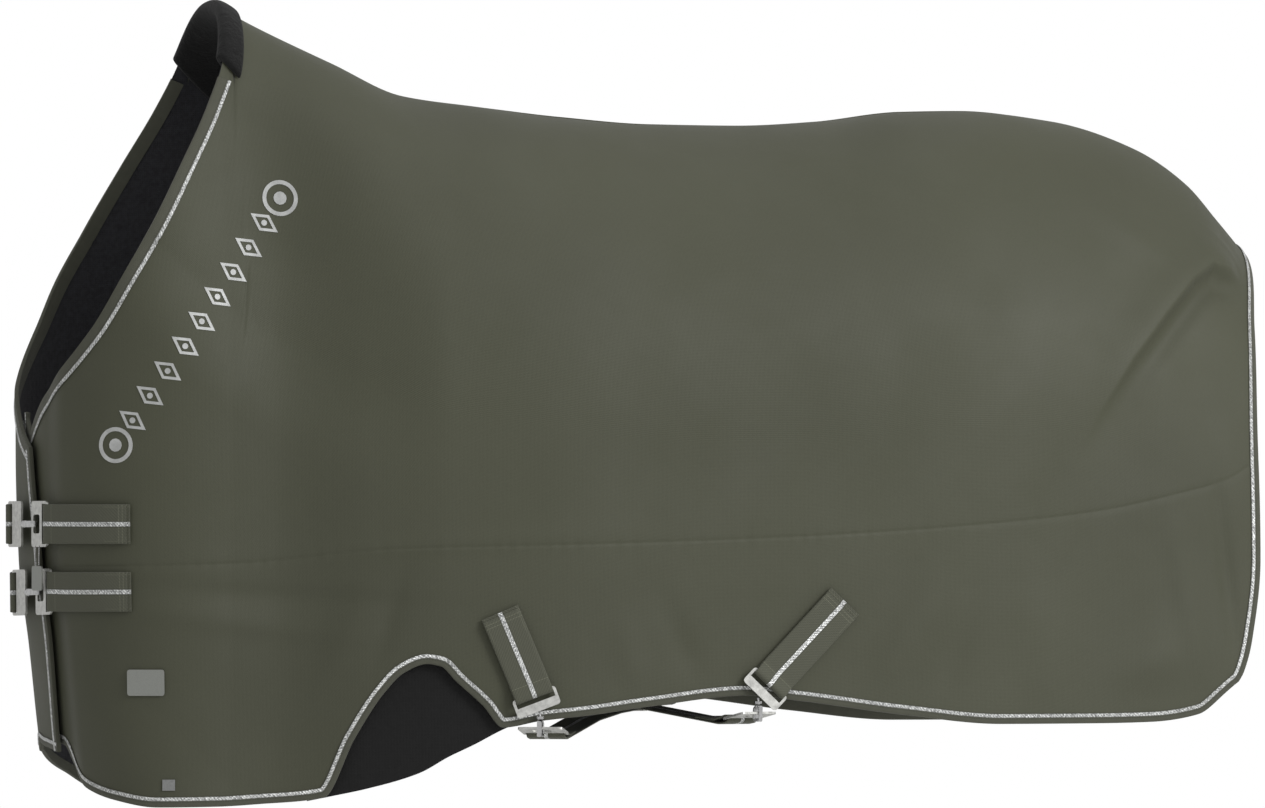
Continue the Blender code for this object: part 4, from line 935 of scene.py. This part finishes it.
def thread_finish():
    """Satin silver embroidery thread."""
    colour = get_finish().thread
    made = Finish("silver_embroidery", colour, 0.42, 0.35, sheen=0.1)
    spot = made.uv()
    strand = made.wave(spot, 0.0008, "DIAGONAL", 0.5)
    uneven = made.span(made.noise(spot, 60.0), 0.3, 0.7, 0.85, 1.15)
    shade = made.math("MULTIPLY", made.span(strand, 0, 1, 0.75, 1.12), uneven)
    made.bump(strand, 0.0003, 0.5)
    return made.set(Base_Color=made.tint(colour, shade))


def metal_finish(name, colour, roughness, grain, depth):
    """Cast and tumbled metal: worn shade, grain and uneven gloss."""
    made = Finish(name, colour, roughness, 1.0)
    body = made.place()
    worn = made.noise(body, 160.0, 4.0, 0.6)
    fine = made.noise(body, grain, 3.0, 0.6)
    grit = made.span(fine, 0.3, 0.7, 0.92, 1.06)
    shade = made.math("MULTIPLY", made.span(worn, 0.3, 0.7, 0.80, 1.12), grit)
    made.bump(made.math("ADD", fine, made.math("MULTIPLY", worn, 0.6)), depth, 0.5)
    rough = made.span(worn, 0.3, 0.7, roughness - 0.07, roughness + 0.08)
    return made.set(Base_Color=made.tint(colour, shade), Roughness=rough)


def brushed_finish(name, colour, roughness):
    """Brushed plate with hairlines along X."""
    made = Finish(name, colour, roughness, 0.85)
    body = made.place()
    stretched = made.node("ShaderNodeMapping", Vector=body)
    stretched.inputs["Scale"].default_value = (0.04, 1.0, 1.0)
    hair = made.noise(stretched.outputs[0], 2200.0, 3.0, 0.6)
    made.bump(hair, 0.00015, 0.35)
    return made.set(
        Base_Color=made.tint(colour, made.span(hair, 0.3, 0.7, 0.85, 1.12)),
        Roughness=made.span(hair, 0.3, 0.7, roughness - 0.06, roughness + 0.08),
    )


def label_finish():
    """Woven label."""
    colour = get_finish().braid
    made = Finish("woven_label", dark(colour, 0.35), 0.8, sheen=0.1)
    body = made.place()
    weave = made.math("MAXIMUM", made.wave(body, 0.0009, "X"), made.wave(body, 0.0009, "Z"))
    shade = made.span(made.math("ADD", weave, made.noise(body, 400.0)), 0.4, 1.5, 0.7, 1.3)
    made.bump(weave, 0.0003, 0.5)
    return made.set(Base_Color=made.tint(dark(colour, 0.35), shade))


# ---- settings -------------------------------------------------------------------------------------


def colour_property(name, description, default):
    return FloatVectorProperty(
        name=name, description=description, default=default, subtype="COLOR", size=3, min=0.0, max=1.0
    )


class RugFinishes(bpy.types.PropertyGroup):
    shell: colour_property("Shell", "Outer cloth", (0.066, 0.069, 0.041))
    shell_roughness: FloatProperty(
        name="Shell Roughness", description="How matt the outer cloth is", default=0.60, min=0.2, max=1.0
    )
    lining: colour_property("Lining", "Inner cloth", (0.0250, 0.0250, 0.0290))
    gusset: colour_property("Gusset", "Shoulder gussets", (0.0045, 0.0045, 0.0046))
    pad: colour_property("Wither Pad", "Fleece over the withers", (0.0020, 0.0020, 0.0020))
    tape: colour_property("Tape", "Edge bindings", (0.082, 0.084, 0.060))
    webbing: colour_property("Webbing", "Straps", (0.090, 0.093, 0.065))
    braid: colour_property("Braid", "Metallic braid and stripes", (0.62, 0.63, 0.62))
    thread: colour_property("Thread", "Embroidery", (0.58, 0.59, 0.58))
    nickel: colour_property("Plates", "Strap plates", (0.74, 0.74, 0.71))
    chrome: colour_property("Hooks", "Hooks, swivels and chains", (0.72, 0.72, 0.72))
    badge: colour_property("Badge", "Badge and hang tag", (0.36, 0.37, 0.345))


class RugDetail(bpy.types.PropertyGroup):
    columns: IntProperty(name="Columns", description="Columns of a shell panel", default=330, min=40)
    rows: IntProperty(name="Rows", description="Rows of a shell panel", default=120, min=20)
    fold_depth: FloatProperty(
        name="Folds", description="Share of the folds' full depth", default=1.0, min=0.0
    )
    tape_width: FloatProperty(
        name="Neck Tape", description="Width of the neck tape's outer leg", default=0.0170, unit="LENGTH"
    )
    hem_tape_width: FloatProperty(
        name="Hem Tape", description="Width of the other tapes' outer leg", default=0.0115, unit="LENGTH"
    )
    braid_width: FloatProperty(name="Braid", description="Width of the braid", default=0.0048, unit="LENGTH")
    motif: FloatProperty(name="Motif", description="Height of a shoulder motif", default=0.042, unit="LENGTH")


class RugStage(bpy.types.PropertyGroup):
    view: FloatProperty(
        name="View", description="Turn of the camera round the rug", default=math.radians(-14),
        unit="ROTATION",
    )
    distance: FloatProperty(name="Distance", description="Camera to the rug", default=40.0, unit="LENGTH")
    lens: FloatProperty(name="Lens", description="Focal length in millimetres", default=896.7)
    below: FloatProperty(name="Floor", description="Floor below the lowest hem", default=0.6, unit="LENGTH")
    ambient: FloatProperty(name="Ambient", description="Light from all round", default=0.50, min=0.0)
    key: FloatProperty(name="Key", description="Power of the large light", default=140.0, min=0.0)
    fill: FloatProperty(name="Fill", description="Power of the top light", default=18.0, min=0.0)


def get_finish():
    return bpy.context.scene.rug_finishes


def get_detail():
    return bpy.context.scene.rug_detail


def tidy(piece, slot, *nodes):
    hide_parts(*nodes)
    return piece


def hang(piece, side, crosses_fold=True):
    """Lets a piece go with the rug, or, where it crosses the fold, bakes its placement into its mesh."""
    if side == OFF and crosses_fold:
        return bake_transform(piece)
    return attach(piece, "rug")


SIDES = (("left", NEAR), ("right", OFF))


class RUG_OT_shell(bpy.types.Operator):
    """Builds both sides of the outer cloth, with their seams and folds"""

    bl_idname = "rug.shell"
    bl_label = "Shell"

    def execute(self, context):
        finish = shell_finish()
        detail = get_detail()
        for prefix, side in SIDES:
            spots = lambda u, v: cut(u, v, side)
            name, inner = f"{prefix}_shell", -SHELL
            made = panel(name, detail.columns, detail.rows, side, 0.0, inner, finish, spots, detailed)
            nodes = [f"{prefix}_upper_shell", f"{prefix}_skirt_shell"]
            if side == OFF:
                nodes += ["right_flap_upper_shell", "right_flap_skirt_shell"]
            tidy(made, "shell", *nodes)
            hang(made, side)
        return {"FINISHED"}


class RUG_OT_lining(bpy.types.Operator):
    """Builds both sides of the inner cloth"""

    bl_idname = "rug.lining"
    bl_label = "Lining"

    def execute(self, context):
        finish = lining_finish("knitted_lining", get_finish().lining, 0.0024)
        for prefix, side in SIDES:
            spots = lambda u, v: cut(u, v, side)
            made = panel(f"{prefix}_lining_cloth", 210, 80, side, -SHELL - GAP, -STACK, finish, spots)
            nodes = [f"{prefix}_lining"] + (["right_flap_lining"] if side == OFF else [])
            tidy(made, "lining", *nodes)
            hang(made, side)
        return {"FINISHED"}


class RUG_OT_gussets(bpy.types.Operator):
    """Builds the stretch gussets behind the shoulder slits"""

    bl_idname = "rug.gussets"
    bl_label = "Gussets"

    def execute(self, context):
        finish = lining_finish("stretch_gusset", get_finish().gusset, 0.0018)
        depth = -STACK - 0.0057
        for prefix, side in SIDES:

            def spots(u, v):
                q = mix(GUSSET_SPAN[0], GUSSET_SPAN[1], u) * Q_SCALE
                return q, mix(s_at(q, gusset_top(q)), s_at(q, gusset_bottom(q)), v)

            made = panel(f"{prefix}_gusset_cloth", 90, 40, side, depth, depth - GUSSET, finish, spots)
            tidy(made, "gusset", f"{prefix}_shoulder_gusset")
            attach(made, "rug")
        return {"FINISHED"}


class RUG_OT_tapes(bpy.types.Operator):
    """Binds the neck, front, hem and tail edges with braided tape"""

    bl_idname = "rug.tapes"
    bl_label = "Edge Tapes"

    def execute(self, context):
        detail = get_detail()
        wide, narrow, braid = detail.tape_width, detail.hem_tape_width, detail.braid_width
        neck_braid = (wide - braid, wide - 0.0002)
        edge_braid = (narrow - braid, narrow - 0.0002)
        neck_finish = tape_finish("neck_tape", neck_braid)
        edge_finish = tape_finish("edge_tape", edge_braid)
        for prefix, side in SIDES:
            front = float(front_edge_q(STRAIGHT_FRONT, side))
            foot = np.interp(PAD_FOOT_Q, [front, CREST_Q], [0, CREST_COLUMN])
            along, down = np.linspace(0, 1, 620), np.linspace(0, 1, 300)
            neck = np.linspace(0.0, foot, 220)
            lines = (
                ("neck", cut(neck, 0.0, side), cut(neck, 0.02, side), wide, neck_braid, neck_finish),
                ("hem", cut(along, 1.0, side), cut(along, 0.98, side), narrow, edge_braid, edge_finish),
                ("front", cut(0.0, down, side), cut(0.01, down, side), narrow, edge_braid, edge_finish),
                ("tail", cut(1.0, down, side), cut(0.99, down, side), narrow, edge_braid, edge_finish),
            )
            for edge, (q, s), beside, width, stripe, finish in lines:
                name = f"{prefix}_{edge}_tape"
                made = edge_tape(name, q, s, side, beside, width, stripe, finish)
                nodes = [f"{prefix}_{edge}_binding"]
                if side == OFF and edge in ("neck", "hem"):
                    nodes.append(f"right_flap_{edge}_binding")
                if side == OFF and edge == "front":
                    nodes = ["right_flap_front_binding"]
                tidy(made, "binding", *nodes)
                if side == OFF and edge == "front":
                    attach(made, "front_flap")
                else:
                    hang(made, side, edge in ("neck", "hem"))
        return {"FINISHED"}


class RUG_OT_wither_pad(bpy.types.Operator):
    """Wraps the neck edge over the crest with its fleece pad"""

    bl_idname = "rug.wither_pad"
    bl_label = "Wither Pad"

    def execute(self, context):
        foot = neck_q_at(PAD_FOOT)
        climb = [mix(foot, CREST_Q, t) for t in (0.0, 0.04, 0.15, 0.3, 0.45, 0.6, 0.7, 0.8, 0.88, 0.93)]
        path = [(q, float(top_s(q, NEAR)), NEAR) for q in climb] + [(CREST_Q, 0.0, NEAR)]
        path += [(q, float(top_s(q, NEAR)), OFF) for q in reversed(climb)]
        points = [Vector(at(*spot, folded=False)) for spot in path]
        high, low = PAD_GAP - 0.0040, -STACK - PAD_GAP + 0.0040
        thick = PAD + 0.0020
        rim = -PAD_GAP - PAD + 0.0030
        corners = [
            (PAD_OUTSIDE, high), (PAD_OUTSIDE + 0.002, high + thick * 0.5), (PAD_OUTSIDE, high + thick),
            (PAD_OUTSIDE * 0.5, high + thick * 1.08), (0.0, high + thick), (rim * 0.8, high + thick * 0.5),
        ]
        corners += [(rim, (high + low) / 2), (rim * 0.8, low - thick * 0.5), (0.0, low - thick)]
        corners += [(PAD_INSIDE * share, low - thick) for share in (1 / 3, 2 / 3, 1)]
        corners += [(PAD_INSIDE + 0.002, low - thick * 0.5)]
        corners += [(PAD_INSIDE * share, low) for share in (1, 2 / 3, 1 / 3)]
        corners += [(0.0, low), (-0.002, (high + low) / 2), (0.0, high), (PAD_OUTSIDE / 2, high)]
        rings = []
        for i, (q, s, side) in enumerate(path):
            run = points[min(i + 1, len(path) - 1)] - points[max(i - 1, 0)]
            inwards = run.cross(Vector(outward(q, s, side))).normalized()
            along, down = slopes(q, s, side)
            turn = np.linalg.lstsq(np.array([along, down]).T, np.array(inwards), rcond=None)[0]
            if i > len(climb) or side == NEAR:
                turn = abs(turn)
            end = min(i, len(path) - 1 - i)
            plump = 0.55 if end == 0 else 1.0
            middle = (high + low) / 2
            rings.append([
                at(q + turn[0] * reach, s + turn[1] * reach, side, mix(middle, lift, plump), folded=False)
                for reach, lift in corners
            ])
        rings = np.array(rings)
        marks = np.zeros((len(path), len(corners) + 1, 2))
        made = loft("wither_fleece", rings, marks, fleece_finish(), 180.0)
        smooth = made.modifiers.new("plump", "SUBSURF")
        smooth.levels = smooth.render_levels = 2
        tidy(made, "pad", "wither_pad")
        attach(made, "rug")
        return {"FINISHED"}


class RUG_OT_straps(bpy.types.Operator):
    """Lays the chest straps, belly tabs and surcingles"""

    bl_idname = "rug.straps"
    bl_label = "Straps"

    def execute(self, context):
        finish = webbing_finish()
        for level, height in CHEST_STRAPS.items():
            flap_frame, near_frame = chest_frames(height)
            sewn, landing = (CHEST_SEWN_END, height), (CHEST_SURFACE_END, height)
            bridge = [(FLAP_BRIDGE_Q, height, FLAP_BRIDGE_LIFT)]
            near = sewn_strap(f"left_{level}_chest_strap", NEAR, sewn, landing, near_frame, finish)
            off = sewn_strap(f"right_{level}_chest_strap", OFF, sewn, landing, flap_frame, finish, bridge)
            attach(near, "rug")
            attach(off, "front_flap")
            for prefix, made, length in (("left", near, 0.27), ("right", off, 0.46)):
                tidy(made, "webbing", f"{prefix}_{level}_chest_webbing")
        for end, tab, other in (("front", FRONT_TAB, REAR_TAB), ("rear", REAR_TAB, FRONT_TAB)):
            tab_frame, caught = belly_frames(tab, far_hem(other))
            made = sewn_strap(
                f"left_{end}_belly_strap", NEAR, tab[0], tab[1], tab_frame, finish, length=BELLY_PLATE_LENGTH
            )
            tidy(made, "webbing", f"left_{end}_belly_webbing")
            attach(made, "rug")
            line, fold = surcingle_line(caught, other, SURCINGLE_RISE[end]), loop_line(caught)
            (last, across), before = line[-1], line[-2][0]
            run = (before - last).normalized()
            step = (fold[-1][0] - fold[0][0]).normalized() * (WEBBING + STRAP_SLIDE_GAP)
            back = [(last + run * reach + step, across) for reach in (0.012, 0.045)]
            made = ribbon(f"{end}_surcingle_strap", line + fold + back, finish, len(line) + 6)
            tidy(made, "webbing", f"{end}_surcingle")
            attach(made, "rug")
        return {"FINISHED"}


class RUG_OT_embroidery(bpy.types.Operator):
    """Embroiders a plain geometric band along the near shoulder"""

    bl_idname = "rug.embroidery"
    bl_label = "Shoulder Embroidery"

    def execute(self, context):
        size = get_detail().motif
        start, stop = (Vector(end) for end in EMBROIDERY_LINE)
        run = (stop - start).normalized()
        aside = Vector((-run.y, run.x))
        finish = thread_finish()
        shape = bmesh.new()
        for index in range(MOTIFS):
            centre = start.lerp(stop, index / (MOTIFS - 1))
            end = index in (0, MOTIFS - 1)
            outer, inner = (size * 0.54, size * 0.42) if end else (size * 0.50, size * 0.33)
            narrow = 1.0 if end else 0.56
            loops = []
            for radius in (outer, inner):
                ring = bmesh.ops.create_circle(shape, segments=32 if end else 4, radius=radius)["verts"]
                loops.append(list({edge for vertex in ring for edge in vertex.link_edges}))
                for vertex in ring:
                    side_way, run_way = vertex.co.y, vertex.co.x * narrow
                    spot = centre + aside * side_way + run * run_way
                    vertex.co = (spot.x, spot.y, 0)
            bmesh.ops.bridge_loops(shape, edges=loops[0] + loops[1])
            dot_radius = size * (0.20 if end else 0.09)
            dot = bmesh.ops.create_circle(shape, segments=12, radius=dot_radius, cap_ends=True)
            for vertex in dot["verts"]:
                spot = centre + aside * vertex.co.y + run * vertex.co.x
                vertex.co = (spot.x, spot.y, 0)
        bmesh.ops.subdivide_edges(shape, edges=[e for e in shape.edges if e.calc_length() > 0.004], cuts=3)
        raised = bmesh.ops.extrude_face_region(shape, geom=shape.faces[:])
        top = {vertex for vertex in raised["geom"] if isinstance(vertex, bmesh.types.BMVert)}
        layer = shape.loops.layers.uv.new("UVMap")
        for vertex in shape.verts:
            for loop in vertex.link_loops:
                loop[layer].uv = vertex.co.xy
            q, height = vertex.co.x * Q_SCALE, vertex.co.y
            vertex.co = at(q, s_at(q, height), NEAR, 0.0008 if vertex in top else -0.0003)
        made = place("shoulder_embroidery", shape, finish, 30.0)
        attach(made, "rug")
        return {"FINISHED"}


class RUG_OT_fittings(bpy.types.Operator):
    """Finishes the plates, hooks, badge, label, tag and chains"""

    bl_idname = "rug.fittings"
    bl_label = "Fittings"

    def execute(self, context):
        colours = get_finish()
        nickel = metal_finish("satin_nickel", colours.nickel, 0.42, 1400.0, 0.0002)
        chrome = metal_finish("tumbled_chrome", colours.chrome, 0.20, 900.0, 0.0001)
        badge = brushed_finish("brushed_badge", colours.badge, 0.36)
        woven = label_finish()
        for name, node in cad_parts.items():
            finish = None
            if name.endswith(("_plate", "_adjuster")):
                finish = nickel
            if name.endswith(("_swivel", "_hook", "_gate")) or name.startswith("tag_chain"):
                finish = chrome
            if name in ("chest_badge_plate", "hang_tag"):
                finish = badge
            if name == "hem_label":
                finish = woven
            if finish:
                piece = bpy.data.objects[node.name] if hasattr(node, "name") else bpy.data.objects[name]
                for slot in piece.material_slots:
                    slot.material = finish
                if not piece.material_slots:
                    piece.data.materials.append(finish)
        return {"FINISHED"}


def area_light(name, place_at, target, width, depth, power):
    light = bpy.data.lights.new(name, "AREA")
    light.shape = "RECTANGLE"
    light.size, light.size_y, light.energy = width, depth, power
    made = bpy.data.objects.new(name, light)
    made.location = place_at
    made.rotation_euler = (Vector(target) - Vector(place_at)).to_track_quat("-Z", "Y").to_euler()
    bpy.context.scene.collection.objects.link(made)
    return made


class RUG_OT_stage(bpy.types.Operator):
    """Sets the floor, the soft lights and the camera"""

    bl_idname = "rug.stage"
    bl_label = "Stage"

    def execute(self, context):
        scene = context.scene
        stage = scene.rug_stage
        low, high = (Vector(corner) for corner in CAD_BOX)
        centre = (low + high) / 2
        floor_shape = bmesh.new()
        bmesh.ops.create_circle(floor_shape, cap_ends=True, segments=96, radius=5.0)
        pale = Finish("pale_floor", (0.80, 0.80, 0.79), 0.9)
        grit = pale.noise(pale.place(), 40.0)
        pale.set(Base_Color=pale.tint((0.80, 0.80, 0.79), pale.span(grit, 0.3, 0.7, 0.99, 1.01)))
        mesh = bpy.data.meshes.new("studio_floor")
        for vertex in floor_shape.verts:
            vertex.co.z = low.z - stage.below
        floor_shape.to_mesh(mesh)
        floor_shape.free()
        mesh.materials.append(pale.material)
        floor = bpy.data.objects.new("studio_floor", mesh)
        scene.collection.objects.link(floor)

        world = bpy.data.worlds.new("soft_studio")
        scene.world = world
        world.use_nodes = True
        tree = world.node_tree
        background = tree.nodes["Background"]
        background.inputs["Color"].default_value = (1, 1, 1, 1)
        background.inputs["Strength"].default_value = stage.ambient
        seen = tree.nodes.new("ShaderNodeBackground")
        seen.inputs["Color"].default_value = (1, 1, 1, 1)
        seen.inputs["Strength"].default_value = 1.0
        ray = tree.nodes.new("ShaderNodeLightPath")
        either = tree.nodes.new("ShaderNodeMixShader")
        tree.links.new(ray.outputs["Is Camera Ray"], either.inputs[0])
        tree.links.new(background.outputs[0], either.inputs[1])
        tree.links.new(seen.outputs[0], either.inputs[2])
        tree.links.new(either.outputs[0], tree.nodes["World Output"].inputs["Surface"])

        area_light("key", (3.0, -4.2, 1.7), centre, 2.2, 2.2, stage.key)
        area_light("top", (0.2, -0.6, 3.2), centre, 2.5, 2.0, stage.fill)

        camera = bpy.data.cameras.new("camera")
        camera.lens, camera.sensor_width, camera.clip_end = stage.lens, 36.0, 300.0
        viewer = bpy.data.objects.new("camera", camera)
        target = Vector((0, 0, 0.5067 - ORIGIN_HEIGHT))
        back = Vector((math.sin(stage.view), -math.cos(stage.view), 0))
        viewer.location = target + back * stage.distance
        viewer.rotation_euler = (-back).to_track_quat("-Z", "Y").to_euler()
        scene.collection.objects.link(viewer)
        scene.camera = viewer
        scene.view_settings.view_transform = "Standard"
        return {"FINISHED"}


STEPS = (
    RUG_OT_gussets, RUG_OT_lining, RUG_OT_shell, RUG_OT_tapes, RUG_OT_wither_pad, RUG_OT_straps,
    RUG_OT_embroidery, RUG_OT_fittings, RUG_OT_stage,
)


class RUG_PT_panel(bpy.types.Panel):
    """Lists the rug's building steps and settings"""

    bl_idname = "RUG_PT_panel"
    bl_label = "Turnout Rug"
    bl_space_type = "VIEW_3D"
    bl_region_type = "UI"
    bl_category = "Rug"

    def draw(self, context):
        for step in STEPS:
            self.layout.operator(step.bl_idname)
        for group in (context.scene.rug_finishes, context.scene.rug_detail, context.scene.rug_stage):
            for key in group.bl_rna.properties.keys():
                if key not in ("rna_type", "name"):
                    self.layout.prop(group, key)


CLASSES = (RugFinishes, RugDetail, RugStage) + STEPS + (RUG_PT_panel,)


def register():
    for kind in CLASSES:
        bpy.utils.register_class(kind)
    bpy.types.Scene.rug_finishes = PointerProperty(type=RugFinishes)
    bpy.types.Scene.rug_detail = PointerProperty(type=RugDetail)
    bpy.types.Scene.rug_stage = PointerProperty(type=RugStage)


def unregister():
    del bpy.types.Scene.rug_stage
    del bpy.types.Scene.rug_detail
    del bpy.types.Scene.rug_finishes
    for kind in reversed(CLASSES):
        bpy.utils.unregister_class(kind)


def main():
    register()
    for step in STEPS:
        group, name = step.bl_idname.split(".")
        getattr(getattr(bpy.ops, group), name)()


if __name__ == "__main__":
    main()
